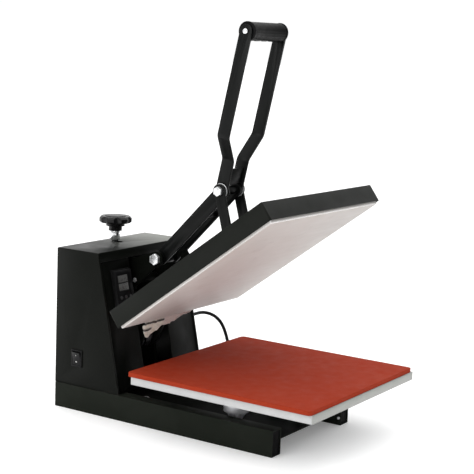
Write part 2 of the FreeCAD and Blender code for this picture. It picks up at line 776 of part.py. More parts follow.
def housing_shell():
    """Sides and top of the housing in one folded sheet, with folded front edges."""
    body = new_body("housing_shell")
    half, top, low = S.shell_half, S.shell_top, S.rail_height
    plate_x(body, [(S.shell_front_low, low), (S.shell_front_high, top),
                   (S.shell_rear, top), (S.shell_rear, low)], -half, half)
    along_y = runs_along(1)
    round_edges(body, 2, lambda edge: along_y(edge) and edge.BoundBox.ZMin > top.value - 1)
    inner = half - S.sheet
    sketch = sketch_on(body, "XZ_Plane")
    add_polygon(sketch, [(-inner, low - 5), (inner, low - 5),
                         (inner, top - S.sheet), (-inner, top - S.sheet)])
    pocket_through(body, sketch)
    for sign in (-1, 1):
        side = span(sign, half - S.return_width, half - 0.5)
        plate_x(body, leaning_strip(low, top - 1, 0, S.sheet), *side)
    flange = leaning_strip(top - S.flange_height, top - 1, 0, S.sheet)
    plate_x(body, flange, 1 - half, half - 1)
    for y in (S.top_slot_front, S.top_slot_back):
        holes(body, "XY_Plane", [(0, y, S.top_slot)])
    sketch = sketch_on(body, "XY_Plane", top + 1)
    add_polygon(sketch, [(-S.top_slot, S.top_slot_front), (S.top_slot, S.top_slot_front),
                         (S.top_slot, S.top_slot_back), (-S.top_slot, S.top_slot_back)])
    pocket_depth(body, sketch, 4)
    # switch opening on the left, gland hole on the right
    sketch = sketch_on(body, "YZ_Plane", -half - 1)
    wide, tall = S.switch_wide / 2 - 1.5, S.switch_tall / 2 - 1.5
    add_polygon(sketch, [(S.switch_y - wide, S.switch_z - tall),
                         (S.switch_y + wide, S.switch_z - tall),
                         (S.switch_y + wide, S.switch_z + tall),
                         (S.switch_y - wide, S.switch_z + tall)])
    pocket_depth(body, sketch, 4)
    sketch = sketch_on(body, "YZ_Plane", half + 1)
    add_circle(sketch, S.gland_y, S.gland_z, 8)
    pocket_depth(body, sketch, 4)
    keep(body, "housing_shell")


def front_panel():
    body = new_body("front_panel")
    half = S.shell_half - S.sheet - 0.2
    low, high = S.rail_height, S.shell_top - S.sheet - 0.2
    plate_x(body, leaning_strip(low, high, S.panel_set, S.sheet), -half, half)
    sketch = sketch_on(body, "XZ_Plane")
    slot = S.slot_half
    add_polygon(sketch, [(-slot, S.slot_low), (slot, S.slot_low),
                         (slot, S.slot_high), (-slot, S.slot_high)])
    pocket_through(body, sketch)
    sketch = sketch_on(body, "XZ_Plane")
    wide, tall = S.case_wide / 2 + 0.3, S.case_tall / 2 + 0.8
    left, right = S.case_x - wide, S.case_x + wide
    bottom, top = S.case_z - tall, S.case_z + tall
    add_polygon(sketch, [(left, bottom), (right, bottom), (right, top), (left, top)])
    pocket_through(body, sketch)
    keep(body, "front_panel")


def rear_panel():
    """Flat rear panel with two columns of louvre slots."""
    body = new_body("rear_panel")
    half = S.shell_half - 0.5
    low, high = S.rail_height, S.shell_top - 1
    sketch = sketch_on(body, "XZ_Plane", -S.shell_rear - S.rear_sheet)
    add_polygon(sketch, [(-half, low), (half, low), (half, high), (-half, high)])
    for column in (-60, 60):
        for level in range(6):
            floor = 110 + 16 * level
            add_polygon(sketch, [(column - 32, floor), (column + 32, floor),
                                 (column + 32, floor + 4), (column - 32, floor + 4)])
    pad(body, sketch, S.rear_sheet)
    keep(body, "rear_panel")

    screws = []
    back = S.shell_rear + S.rear_sheet
    for x in (-126, 126):
        for z in (60, 180, 300):
            turn = Rotation(Vector(1, 0, 0), -90)
            screws.append(part_rod("panel_screw_%d_%d" % (x + 200, z), S.rear_screw, 1.5,
                                   x, back, z, turn))
    keep(joined("Part::Compound", "housing_screws", screws), "housing_screws")


lean = math.degrees(math.atan(front_slope.value))
UPRIGHT_TO_FACE = Rotation(Vector(1, 0, 0), -lean)


def on_face(thing):
    """Move a piece drawn upright at the origin on to the leaning front face."""
    return place(thing, S.case_x, front_at(S.case_z), S.case_z, UPRIGHT_TO_FACE)


def controller():
    """Box controller: rim on the face, two display windows and three buttons."""
    case = new_body("controller_case")
    wide, tall, extra = S.case_wide / 2, S.case_tall / 2, S.rim_extra
    sketch = sketch_on(case, "XZ_Plane", -S.case_deep)
    add_polygon(sketch, [(-wide, -tall), (wide, -tall), (wide, tall), (-wide, tall)])
    pad(case, sketch, S.case_deep + S.case_proud)
    sketch = sketch_on(case, "XZ_Plane", -1.5)
    add_polygon(sketch, [(-wide - extra, -tall - extra), (wide + extra, -tall - extra),
                         (wide + extra, tall + extra), (-wide - extra, tall + extra)])
    pad(case, sketch, 1.5)
    sketch = sketch_on(case, "XZ_Plane", S.case_proud)
    for x in button_columns():
        add_circle(sketch, x, S.button_row, S.button_radius + S.button_play)
    pocket_depth(case, sketch, S.button_well)
    sketch = sketch_on(case, "XZ_Plane", S.case_proud)
    for middle in (S.window_upper, S.window_lower):
        add_polygon(sketch, window_outline(middle))
    pocket_depth(case, sketch, 1)
    keep(on_face(case), "controller_case")

    panes = []
    for name, middle in (("upper", S.window_upper), ("lower", S.window_lower)):
        pane = new_body("pane_" + name)
        sketch = sketch_on(pane, "XZ_Plane", S.case_proud - 1)
        add_polygon(sketch, window_outline(middle))
        pad(pane, sketch, 0.8)
        panes.append(on_face(pane))
    keep(joined("Part::Compound", "display_windows", panes), "display_windows")

    for name, x in zip(("set_button", "up_button", "down_button"), button_columns()):
        button = new_body(name)
        start = S.case_proud + S.button_proud - S.button_long
        sketch = sketch_on(button, "XZ_Plane", start)
        add_circle(sketch, x, S.button_row, S.button_radius)
        pad(button, sketch, S.button_long)
        keep(on_face(button), name)


def button_columns():
    return (-S.button_pitch, Size(0), S.button_pitch)


def window_outline(middle):
    wide, tall = S.window_wide / 2, S.window_tall / 2
    left, right = S.window_shift - wide, S.window_shift + wide
    return [(left, middle - tall), (right, middle - tall),
            (right, middle + tall), (left, middle + tall)]


def power_switch():
    """Rocker switch in the left wall: a bezel with a well, and the rocker in it."""
    half = S.shell_half
    y, z = S.switch_y, S.switch_z
    wide, tall = S.switch_wide / 2, S.switch_tall / 2

    def upright(inset):
        return [(y - wide + inset, z - tall + inset), (y + wide - inset, z - tall + inset),
                (y + wide - inset, z + tall - inset), (y - wide + inset, z + tall - inset)]

    body = new_body("switch_bezel")
    plate_x(body, upright(0), -half - S.bezel_thick, -half)
    plate_x(body, upright(1.6), -half, -half + 22)
    sketch = sketch_on(body, "YZ_Plane", -half - S.bezel_thick)
    add_polygon(sketch, upright(3.2))
    pocket_depth(body, sketch, 13)
    keep(body, "switch_bezel")

    rocker = new_body("power_rocker")
    sketch = sketch_on(rocker, "XZ_Plane", -S.rocker_wide / 2)
    reach = S.rocker_half
    add_polygon(sketch, [(-3.6, -reach), (5, -11), (5, 11), (-3.6, reach), (-1.8, 0)])
    pad(rocker, sketch, S.rocker_wide)
    sketch = sketch_on(rocker, "XZ_Plane", -S.rocker_wide / 2 - S.rocker_pin_out)
    add_circle(sketch, 0, 0, S.rocker_pin)
    pad(rocker, sketch, S.rocker_wide + S.rocker_pin_out * 2)
    tipped = Rotation(Vector(0, 1, 0), -S.rocker_tilt.value)
    keep(place(rocker, -half, y, z, tipped), "power_rocker")


# ---------------------------------------------------------------- pressure screw

def pressure_screw():
    knob = new_body("pressure_knob")
    turned(knob, [(0, S.neck_low), (S.neck_small, S.neck_low),
                  (S.neck_small, S.neck_low + 9), (S.neck_wide, S.neck_low + 9.5),
                  (S.neck_wide, S.knob_low - 1), (S.knob_radius - 3, S.knob_low),
                  (S.knob_radius, S.knob_low + 3), (S.knob_radius, S.knob_high - 4),
                  (S.knob_radius - 4, S.knob_high), (S.knob_cap + 1, S.knob_high),
                  (S.knob_cap, S.knob_high - 1), (0, S.knob_high - 1)])
    sketch = sketch_on(knob, "XY_Plane", S.knob_low - 3)
    reach = S.knob_radius + 7
    add_circle(sketch, reach, 0, 11)
    scallop = pocket_depth(knob, sketch, -S.knob_low + S.knob_high + 6)
    ring = knob.newObject("PartDesign::PolarPattern", "knob_scallops")
    ring.Originals = [scallop]
    ring.Axis = (sketch, ["N_Axis"])
    ring.Angle = 360
    ring.Occurrences = 7
    knob.Tip = ring
    doc.recompute()
    turn = Rotation(Vector(0, 0, 1), S.knob_turned.value)
    keep(place(knob, 0, S.knob_y, 0, turn), "pressure_knob")

    cap = new_body("knob_cap")
    turned(cap, [(0, S.knob_high - 1), (S.knob_cap, S.knob_high - 1),
                 (S.knob_cap, S.knob_high + 0.4), (S.knob_cap - 1.2, S.knob_high + 1.4),
                 (0, S.knob_high + 1.8)])
    keep(place(cap, 0, S.knob_y, 0), "knob_cap")

    screw = new_body("pressure_screw")
    turned(screw, [(0, S.thread_low), (S.thread_radius - 1, S.thread_low),
                   (S.thread_radius, S.thread_low + 1), (S.thread_radius, S.sleeve_low),
                   (S.sleeve_radius, S.sleeve_low + 1.5), (S.sleeve_radius, S.neck_low),
                   (0, S.neck_low)])
    keep(place(screw, 0, S.knob_y, 0), "pressure_screw")

    nut = new_body("pressure_nut")
    block(nut, (-S.nut_half, S.nut_half), (S.knob_y - 13, S.knob_y + 13),
          S.nut_low, S.nut_high)
    holes(nut, "XY_Plane", [(0, S.knob_y, S.thread_radius + S.running)])
    keep(nut, "pressure_nut")


# ---------------------------------------------------------------- upper platen, shut

platen_bolt_spots = [(x, y) for x in (-44, 44) for y in (-62, 30)]


def beam_plates():
    """The two beam plates, from the main hinge over the cover to the platen pivot."""
    top = S.cover_top
    outline = [(S.hinge_y, S.hinge_z - 18), (186, S.hinge_z - 18), (98, top),
               (S.crown_y, top), (S.crown_y, S.crown_z + 15), (50, S.crown_z + 15),
               (128, 181), (S.hinge_y, S.hinge_z + 18)]
    flange = [(-90, top), (58, top), (58, top + S.flange_thick),
              (-90, top + S.flange_thick)]
    for name, sign in mirrored_names("beam_plate"):
        body = new_body(name)
        start, end = span(sign, S.beam_in, S.beam_out)
        plate_x(body, outline, start, end)
        disc_x(body, (S.hinge_y, S.hinge_z, 18), start, end)
        disc_x(body, (S.crown_y, S.crown_z, 15), start, end)
        plate_x(body, flange, *span(sign, S.beam_out, S.beam_flange))
        holes(body, "YZ_Plane",
              [(S.hinge_y, S.hinge_z, S.shaft_radius + S.running),
               (S.crown_y, S.crown_z, S.pin_radius + S.running)])
        holes(body, "XY_Plane", [(x, y, M8[0]) for x, y in platen_bolt_spots
                                 if x * sign > 0])
        keep(swing_open(body), name)

    inside = (-S.beam_in, S.beam_in)
    hub = tube_x("beam_hub_tube", S.beam_hub, S.shaft_radius + S.running,
                 *inside, S.hinge_y, S.hinge_z)
    crown = tube_x("beam_crown_tube", 10, S.pin_radius + S.gap,
                   *inside, S.crown_y, S.crown_z)
    front = part_box("beam_front_plate", inside, (-70, -30), (top, top + 5))
    seat = part_box("beam_stop_seat", inside, (S.stop_y - 22, S.stop_y + 22),
                    (top, top + 5))
    post = part_box("stop_post", (-8, 8), (S.stop_y - 8, S.stop_y + 8),
                    (top + 5, S.stop_top))
    parts = [hub, crown, front, joined("Part::MultiFuse", "stop_bracket", [seat, post])]
    keep(swing_open(joined("Part::Compound", "beam_spreaders", parts)), "beam_spreaders")


def stop_buffer():
    """Rubber buffer on a stud: the lever's cross bar comes down on it when locked."""
    stud = part_rod("stop_stud_rod", 9, S.stud_top - S.stop_top, 0, S.stop_y, S.stop_top)
    keep(swing_open(joined("Part::Compound", "stop_stud", [stud])), "stop_stud")
    body = new_body("stop_buffer")
    turned(body, [(0, S.stud_top), (S.bumper_radius, S.stud_top),
                  (S.bumper_radius, S.bumper_top - 3), (S.bumper_radius - 3, S.bumper_top),
                  (0, S.bumper_top)])
    keep(swing_open(place(body, 0, S.stop_y, 0)), "stop_buffer")


def heated_platen():
    """Cover, insulation, element and heating plate, stacked over the heated face."""
    side = S.cover_side / 2
    back = S.hot_back + (S.cover_side - S.hot_side) / 2
    front = back - S.cover_side
    cover = new_body("platen_cover")
    block(cover, (-side, side), (front, back), S.cover_low, S.cover_top)
    round_edges(cover, S.cover_corner, runs_along(2))
    wall = S.cover_sheet
    sketch = sketch_on(cover, "XY_Plane", S.cover_low)
    add_polygon(sketch, [(wall - side, front + wall), (side - wall, front + wall),
                         (side - wall, back - wall), (wall - side, back - wall)])
    pocket_depth(cover, sketch, S.cover_top - S.cover_low - wall)
    holes(cover, "XY_Plane", [(x, y, M8[0]) for x, y in platen_bolt_spots])
    keep(swing_open(cover), "platen_cover")

    half = S.hot_side / 2
    plate = new_body("heating_plate")
    block(plate, (-half, half), (S.hot_back - S.hot_side, S.hot_back),
          S.face_z, S.face_z + S.hot_thick)
    round_edges(plate, 1.5, runs_along(2))
    keep(swing_open(plate), "heating_plate")

    middle = S.hot_back - S.hot_side / 2
    element = new_body("heating_element")
    low = S.face_z + S.hot_thick
    loop, thick = S.element_side / 2, S.element_thick
    sketch = sketch_on(element, "XY_Plane", low)
    for reach in (loop, loop - thick):
        add_polygon(sketch, [(-reach, middle - reach), (reach, middle - reach),
                             (reach, middle + reach), (-reach, middle + reach)])
    pad(element, sketch, thick)
    keep(swing_open(element), "heating_element")

    wool = new_body("insulation_blanket")
    high = S.cover_top - wall - 0.1
    reach = half - 3
    block(wool, (-reach, reach), (middle - reach, middle + reach),
          high - S.wool_thick, high)
    holes(wool, "XY_Plane", [(x, y, M8[0] + 2) for x, y in platen_bolt_spots])
    keep(swing_open(wool), "insulation_blanket")

    bolts = []
    down = Rotation(Vector(1, 0, 0), 180)
    top = S.cover_top + S.flange_thick
    for number, (x, y) in enumerate(platen_bolt_spots):
        bolts.append(hex_bolt("platen_bolt_%d" % number, M8, S.flange_thick + wall + 5,
                              x, y, top, down))
    keep(swing_open(joined("Part::Compound", "platen_bolts", bolts)), "platen_bolts")


def heat_apron():
    """Creased glass-cloth apron that hangs from the rear edge of the upper platen."""
    left, right, slope = -104, 54, 40
    hem_y = S.hot_back + (S.cover_side - S.hot_side) / 2
    hem = part_box("apron_hem", (left, right), (hem_y, hem_y + 4), (122, 135))
    fall = new_body("apron_fall")
    sketch = sketch_on(fall, "XY_Plane")
    add_polygon(sketch, [(left, 0), (right, 0), (right, 6), (19, 11), (-2, 18), (-20, 22),
                         (-42, 23), (-90, 40), (-100, 34), (-106, 20)])
    pad(fall, sketch, 5)
    place(fall, 0, hem_y, 124, turn_about_x(-slope))
    keep(swing_open(joined("Part::MultiFuse", "heat_apron", [hem, fall])), "heat_apron")


# ---------------------------------------------------------------- lever, links, handle

def side_angle(start, end):
    """Angle, from +Y towards +Z, of the line between two (y, z) points."""
    return math.degrees(math.atan2(end[1] - start[1], end[0] - start[0]))


def opened_point(y, z):
    """Where a (y, z) point of the shut platen lies with the press open."""
    turn = math.radians(-S.opening.value)
    out, up = y - S.hinge_y.value, z - S.hinge_z.value
    return (S.hinge_y.value + out * math.cos(turn) - up * math.sin(turn),
            S.hinge_z.value + out * math.sin(turn) + up * math.cos(turn))


lever_pivot = (S.lever_y.value, S.lever_z.value)
elbow = (S.elbow_y.value, S.elbow_z.value)
crown = opened_point(S.crown_y.value, S.crown_z.value)
grip = (S.grip_y.value, S.grip_z.value)
arm_angle = side_angle(lever_pivot, elbow)
link_angle = side_angle(crown, elbow)
handle_angle = side_angle(elbow, grip)
arm_length = math.dist(lever_pivot, elbow)
link_length = math.dist(crown, elbow)
handle_length = math.dist(elbow, grip)


def turn_about_x(angle):
    return Rotation(Vector(1, 0, 0), angle)


def round_bar(name, length, radius, start, end, bores):
    """A flat bar with round ends, lying along +Y from the origin, with two bores."""
    body = new_body(name)
    sketch = sketch_on(body, "YZ_Plane", start)
    add_round_bar(sketch, length, radius)
    add_circle(sketch, 0, 0, bores[0])
    add_circle(sketch, length, 0, bores[1])
    pad(body, sketch, as_size(end) - as_size(start))
    return body


def lever_arms():
    for name, sign in mirrored_names("lever_arm"):
        start, end = span(sign, S.arm_in, S.arm_out)
        bores = (S.pivot_radius + S.running, S.pin_radius)
        arm = round_bar(name, arm_length, S.arm_round, start, end, bores)
        keep(place(arm, 0, S.lever_y, S.lever_z, turn_about_x(arm_angle)), name)

    inside = (-S.arm_in, S.arm_in)
    bore = S.pivot_radius + S.running
    tubes = [tube_x("lever_tube", S.tube_radius, bore, *inside, 0, 0),
             tube_x("elbow_tube", S.elbow_tube, S.pin_radius, *inside, arm_length, 0),
             rod_x("cross_bar", S.cross_radius, *inside, S.cross_run, -S.cross_drop)]
    for sign in (-1, 1):
        ends = span(sign, S.arm_out, S.cheek_in - S.gap)
        tubes.append(tube_x("lever_bush_%d" % (sign + 1), S.tube_radius, bore, *ends, 0, 0))
    group = joined("Part::Compound", "lever_tubes", tubes)
    keep(place(group, 0, S.lever_y, S.lever_z, turn_about_x(arm_angle)), "lever_tubes")

    pin = rod_x("elbow_rod", S.pin_radius, 0.1 - S.washer_out, S.washer_out - 0.1,
                S.elbow_y, S.elbow_z)
    washers = [tube_x("elbow_washer_%d" % (sign + 1), S.washer_radius, S.pin_radius,
                      *span(sign, S.bar_out, S.washer_out), S.elbow_y, S.elbow_z)
               for sign in (-1, 1)]
    keep(joined("Part::Compound", "elbow_pin", [pin] + washers), "elbow_pin")


def links():
    """The two links from the platen pivot up to the elbow, and their bolts."""
    for name, sign in mirrored_names("link"):
        start, end = span(sign, S.link_in, S.link_out)
        link = round_bar(name, link_length, S.link_round, start, end,
                         (S.pin_radius, S.pin_radius))
        disc_x(link, (link_length, 0, S.link_eye), start, end)
        holes(link, "YZ_Plane", [(link_length, 0, S.pin_radius)])
        spot = (0, crown[0], crown[1])
        keep(place(link, *spot, turn_about_x(link_angle)), name)

    bolt = hex_bolt("crown_bolt", M10, S.link_out * 2 + 10, -S.link_out,
                    crown[0], crown[1], TURN_TO_X)
    nut = hex_nut("crown_nut", M10, S.link_out, crown[0], crown[1], TURN_TO_X)
    keep(joined("Part::Compound", "platen_pivot_bolt", [bolt, nut]), "platen_pivot_bolt")

    stubs = []
    long = S.link_out - S.link_in - 0.1
    for sign, turn in ((-1, TURN_TO_X), (1, TURN_TO_MINUS_X)):
        stubs.append(hex_bolt("elbow_bolt_%d" % (sign + 1), M10, long,
                              S.link_out * sign, S.elbow_y, S.elbow_z, turn))
    keep(joined("Part::Compound", "elbow_bolts", stubs), "elbow_bolts")


def handle_bars():
    """Two flat bars, close together at the elbow and spread apart at the grip."""
    thick = S.bar_out - S.arm_out
    near, far = S.arm_out, S.grip_half
    reach = handle_length + 20
    for name, sign in mirrored_names("handle_bar"):
        bent = new_body(name + "_bend")
        sketch = sketch_on(bent, "XY_Plane", -S.bar_round)
        inner = [(near, -20), (near, S.joggle_start), (far, S.joggle_end), (far, reach)]
        outer = [(x + thick, y) for x, y in reversed(inner)]
        corners = [(x * sign, y) for x, y in inner + outer]
        add_polygon(sketch, corners)
        pad(bent, sketch, S.bar_round * 2)
        for x, y, radius in ((near, S.joggle_start, S.bend_outside),
                             (near + thick, S.joggle_start, S.bend_inside),
                             (far, S.joggle_end, S.bend_inside),
                             (far + thick, S.joggle_end, S.bend_outside)):
            round_edges(bent, radius, standing_at(x * sign, y))

        ends = new_body(name + "_outline")
        sketch = sketch_on(ends, "YZ_Plane", -90)
        add_round_bar(sketch, handle_length, S.bar_round)
        add_circle(sketch, 0, 0, S.pin_radius)
        add_circle(sketch, handle_length, 0, 3)
        pad(ends, sketch, 180)

        bar = joined("Part::MultiCommon", name, [bent, ends])
        keep(on_handle(bar), name)

    web = part_box("web_plate", (-S.arm_out, S.arm_out), (S.web_low, S.web_high),
                   (S.web_set, S.web_set + S.web_thick))
    lip = part_box("web_lip", (-S.arm_out, S.arm_out), (S.web_low, S.web_low + 3),
                   (S.web_set + S.web_thick - S.web_lip, S.web_set + S.web_thick))
    keep(on_handle(joined("Part::MultiFuse", "handle_web", [web, lip])), "handle_web")


def on_handle(thing):
    """Move a piece drawn along +Y from the origin on to the handle."""
    return place(thing, 0, S.elbow_y, S.elbow_z, turn_about_x(handle_angle))


def standing_at(x, y):
    """A test for the edge along Z at a corner of the bar's bend."""
    along_z = runs_along(2)

    def test(edge):
        middle = edge.CenterOfMass
        return along_z(edge) and abs(middle.x - x.value) < 0.1 and abs(middle.y - y.value) < 0.1
    return test


def hand_grip():
    """Moulded grip with four finger hollows on its underside and a collar at each end."""
    half = S.grip_half
    run = handle_length
    blank = rod_x("grip_blank", S.grip_radius, -half, half, run, 0)
    hollow, depth = 13.0, 3.4
    tools = []
    for number, x in enumerate((-36, -12, 12, 36)):
        drop = run - S.grip_radius - hollow + depth
        tools.append(part_rod("finger_%d" % number, hollow, 60, x, drop, -30))
    scooped = joined("Part::Cut", "grip_scooped",
                     [blank, joined("Part::MultiFuse", "fingers", tools)])
    collars = [rod_x("grip_collar_%d" % (sign + 1), S.grip_radius + 0.8,
                     *span(sign, half - 3, half), run, 0) for sign in (-1, 1)]
    keep(on_handle(joined("Part::MultiFuse", "hand_grip", [scooped] + collars)),
         "hand_grip")

    screws = []
    outside = S.grip_half + S.bar_out - S.arm_out
    for sign, turn in ((-1, TURN_TO_MINUS_X), (1, TURN_TO_X)):
        head = part_rod("grip_screw_head_%d" % (sign + 1), 5, 3.5,
                        outside * sign, run, 0, turn)
        shank = rod_x("grip_screw_shank_%d" % (sign + 1), 3,
                      *span(sign, S.grip_half, outside), run, 0)
        screws.append(joined("Part::MultiFuse", "grip_screw_%d" % (sign + 1),
                             [head, shank]))
    keep(on_handle(joined("Part::Compound", "grip_screws", screws)), "grip_screws")


# ---------------------------------------------------------------- mains lead

CORD_OUT = [(152, 186, 150), (173, 186.2, 151), (193, 180.5, 150.8), (207.5, 166.5, 144),
            (213, 151, 130), (212.5, 139, 109), (210, 130, 87), (208.3, 123.8, 66),
            (207.6, 120.8, 45), (209.5, 124.5, 25.5), (215.7, 137.5, 10.8),
            (224.8, 154.5, 3.65), (233.2, 171, 3.65), (239.8, 187, 3.65),
            (243.9, 202, 3.65), (245.3, 216, 3.65)]
CORD_IN = [(145.7, 224, 3.7), (147.2, 207, 3.9), (152.6, 190, 7), (158, 173, 12),
           (160, 154, 13)]


def cord_path(points):
    """Straight runs joined by tangent arcs, as large as the runs allow."""
    corners = [Vector(*point) for point in points]
    edges, radii = [], []
    start = corners[0]
    for before, corner, after in zip(corners, corners[1:], corners[2:]):
        arriving, leaving = corner - before, after - corner
        turn = arriving.getAngle(leaving)
        radius = 0.45 * min(arriving.Length, leaving.Length) / math.tan(turn / 2)
        radii.append(radius)
        trim = radius * math.tan(turn / 2)
        into, out = arriving.normalize(), leaving.normalize()
        first, last = corner - into * trim, corner + out * trim
        inward = (out - into).normalize()
        centre = corner + inward * (radius / math.cos(turn / 2))
        middle = centre - inward * radius
        edges.append(Part.LineSegment(start, first).toShape())
        edges.append(Part.Arc(first, middle, last).toShape())
        start = last
    edges.append(Part.LineSegment(start, corners[-1]).toShape())
    return Part.Wire(edges), radii


def cord_tube(points):
    path, radii = cord_path(points)
    radius = S.cord_radius.value
    heading = (Vector(*points[1]) - Vector(*points[0])).normalize()
    section = Part.Wire([Part.Circle(Vector(*points[0]), heading, radius).toShape()])
    tube = path.makePipeShell([section], True, False)
    expected = math.pi * radius * radius * path.Length
    print("cord run %.0f mm, radii %s, volume ratio %.4f" % (
        path.Length, [round(r) for r in radii], tube.Volume / expected))
    return tube


def mains_lead():
    gland = new_body("cord_gland")
    wall = S.shell_half
    turned(gland, [(0, wall - 12), (8, wall - 12), (8, wall), (11, wall),
                   (11, wall + 5), (9, wall + 6), (8.5, wall + 11), (5.5, S.gland_end),
                   (0, S.gland_end)])
    keep(place(gland, 0, S.gland_y, S.gland_z, TURN_TO_X), "cord_gland")

    cord = doc.addObject("Part::Feature", "power_cord")
    cord.Shape = Part.makeCompound([cord_tube(CORD_OUT), cord_tube(CORD_IN)])
    keep(cord, "power_cord")

    coil = new_body("power_cord_coil")
    low, high = 0.2, S.coil_height + 0.2
    turned(coil, [(S.coil_inner, low), (S.coil_outer, low), (S.coil_outer, high),
                  (S.coil_inner, high)])
    keep(place(coil, S.coil_x, S.coil_y, 0), "power_cord_coil")

    plug_back = S.plug_front + 30
    x, z = S.plug_x, S.plug_z
    shell = part_box("plug_shell", (x - 13, x + 13), (S.plug_front, plug_back),
                     (z - 12, z + 12))
    tail = part_rod("plug_tail", 5.5, 12, x, plug_back, z, Rotation(Vector(1, 0, 0), -90))
    keep(joined("Part::MultiFuse", "power_plug", [shell, tail]), "power_plug")

    pins = [part_box("plug_blade_%d" % side, (x + 6.35 * side - 0.8, x + 6.35 * side + 0.8),
                     (S.plug_front - 17, S.plug_front), (z - 1.2, z + 5.2))
            for side in (-1, 1)]
    pins.append(part_rod("plug_earth", 2.4, 20, x, S.plug_front, z - 6.5,
                         Rotation(Vector(1, 0, 0), 90)))
    keep(joined("Part::Compound", "plug_pins", pins), "plug_pins")


# ---------------------------------------------------------------- build and write

BUILDERS = (base_rails, rail_end_caps, base_deck, cap_screws, support_posts, lower_platen,
            pivot_plates, pivot_frame_parts, counterbalance_springs, housing_shell,
            front_panel, rear_panel, controller, power_switch, pressure_screw, beam_plates,
            stop_buffer, heated_platen, heat_apron, lever_arms, links, handle_bars,
            hand_grip, mains_lead)
for build in BUILDERS:
    build()
doc.recompute()

faults = [thing.Name for thing in doc.Objects
          if "Invalid" in thing.State or "Error" in thing.State]
if faults:
    raise RuntimeError("failed objects: %s" % faults)
for node in nodes:
    if node.Shape.isNull() or not node.Shape.isValid():
        raise RuntimeError("bad shape: " + node.Label)

print("arm %.3f deg %.3f mm, link %.3f deg %.3f mm, handle %.3f deg %.3f mm" % (
    arm_angle, arm_length, link_angle, link_length, handle_angle, handle_length))
print("platen pivot open (%.3f, %.3f), lean %.3f deg" % (crown[0], crown[1], lean))

os.makedirs("parts", exist_ok=True)
for node in nodes:
    node.Shape.exportStep("parts/%s.step" % node.Label)
print("%d sub-parts written" % len(nodes))
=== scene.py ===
import json
import math
import random

import bmesh
import bpy
from mathutils import Matrix, Vector, noise


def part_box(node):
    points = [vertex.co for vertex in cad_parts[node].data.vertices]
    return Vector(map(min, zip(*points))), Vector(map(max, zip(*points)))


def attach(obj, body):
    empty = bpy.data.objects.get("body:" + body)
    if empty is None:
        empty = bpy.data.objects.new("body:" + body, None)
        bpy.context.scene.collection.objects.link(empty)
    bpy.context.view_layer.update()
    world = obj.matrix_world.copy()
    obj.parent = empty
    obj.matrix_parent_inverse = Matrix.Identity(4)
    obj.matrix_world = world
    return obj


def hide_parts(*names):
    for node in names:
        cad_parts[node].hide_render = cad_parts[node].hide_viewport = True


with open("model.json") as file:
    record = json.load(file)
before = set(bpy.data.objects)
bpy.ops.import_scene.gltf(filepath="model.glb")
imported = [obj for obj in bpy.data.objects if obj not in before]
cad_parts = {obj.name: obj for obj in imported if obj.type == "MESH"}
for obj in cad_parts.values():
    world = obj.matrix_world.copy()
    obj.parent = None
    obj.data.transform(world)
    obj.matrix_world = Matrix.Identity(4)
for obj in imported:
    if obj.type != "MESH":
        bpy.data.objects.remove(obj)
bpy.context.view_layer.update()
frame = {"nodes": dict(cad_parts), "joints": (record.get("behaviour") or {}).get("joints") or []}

# Looks of a clamshell heat press. Metres, +Z up, the operator stands at -Y.
MM = 0.001
NODES = frame["nodes"]
random.seed(7)

JOINTS = {joint["name"]: joint for joint in frame["joints"]}
HINGE = Vector(JOINTS["platen_hinge"]["pos_m"])
OPENING = math.radians(JOINTS["platen_hinge"]["range_deg"][1])
# Pieces of the upper platen are worked out shut and level, and then swung open.
SWUNG_OPEN = (Matrix.Translation(HINGE) @ Matrix.Rotation(-OPENING, 4, "X")
              @ Matrix.Translation(-HINGE))


# ---------------------------------------------------------------- camera

def add_camera():
    """Camera off the front left, about as high as the raised grip and rolled a little."""
    azimuth, elevation, roll = (math.radians(angle) for angle in (-57.05, 8.55, 2.22))
    target = Vector((0.0283, 0, 0.3583))
    distance = 2.4314
    back = Vector((math.sin(azimuth) * math.cos(elevation),
                   -math.cos(azimuth) * math.cos(elevation), math.sin(elevation)))
    level_right = Vector((0, 0, 1)).cross(back).normalized()
    level_up = back.cross(level_right)
    right = math.cos(roll) * level_right + math.sin(roll) * level_up
    up = math.cos(roll) * level_up - math.sin(roll) * level_right
    data = bpy.data.cameras.new("camera")
    data.lens = 97.73
    data.sensor_width = 36
    data.shift_x = -0.001
    data.shift_y = -0.0105
    data.clip_end = 50
    camera = bpy.data.objects.new("camera", data)
    bpy.context.scene.collection.objects.link(camera)
    turn = Matrix((right, up, back)).transposed().to_4x4()
    camera.matrix_world = Matrix.Translation(target + back * distance) @ turn
    bpy.context.scene.camera = camera


add_camera()


# ---------------------------------------------------------------- mains lead

CORD_DIAMETER = 0.007
# Places the lead passes, in millimetres: out of the housing and down to the bench, and from
# the coil to the plug.
CORD_OUT = [(152, 186, 150), (173, 186.2, 151), (193, 180.5, 150.8), (207.5, 166.5, 144),
            (213, 151, 130), (212.5, 139, 109), (210, 130, 87), (208.3, 123.8, 66),
            (207.6, 120.8, 45), (209.5, 124.5, 25.5), (215.7, 137.5, 10.8),
            (224.8, 154.5, 3.65), (233.2, 171, 3.65), (239.8, 187, 3.65),
            (243.9, 202, 3.65), (245.3, 216, 3.65)]
CORD_IN = [(145.7, 224, 3.7), (147.2, 207, 3.9), (152.6, 190, 7), (158, 173, 12),
           (160, 154, 13)]
COIL_CENTRE = Vector((196, 226, 0))


def smooth(share):
    share = min(1, max(0, share))
    return share * share * (3 - 2 * share)


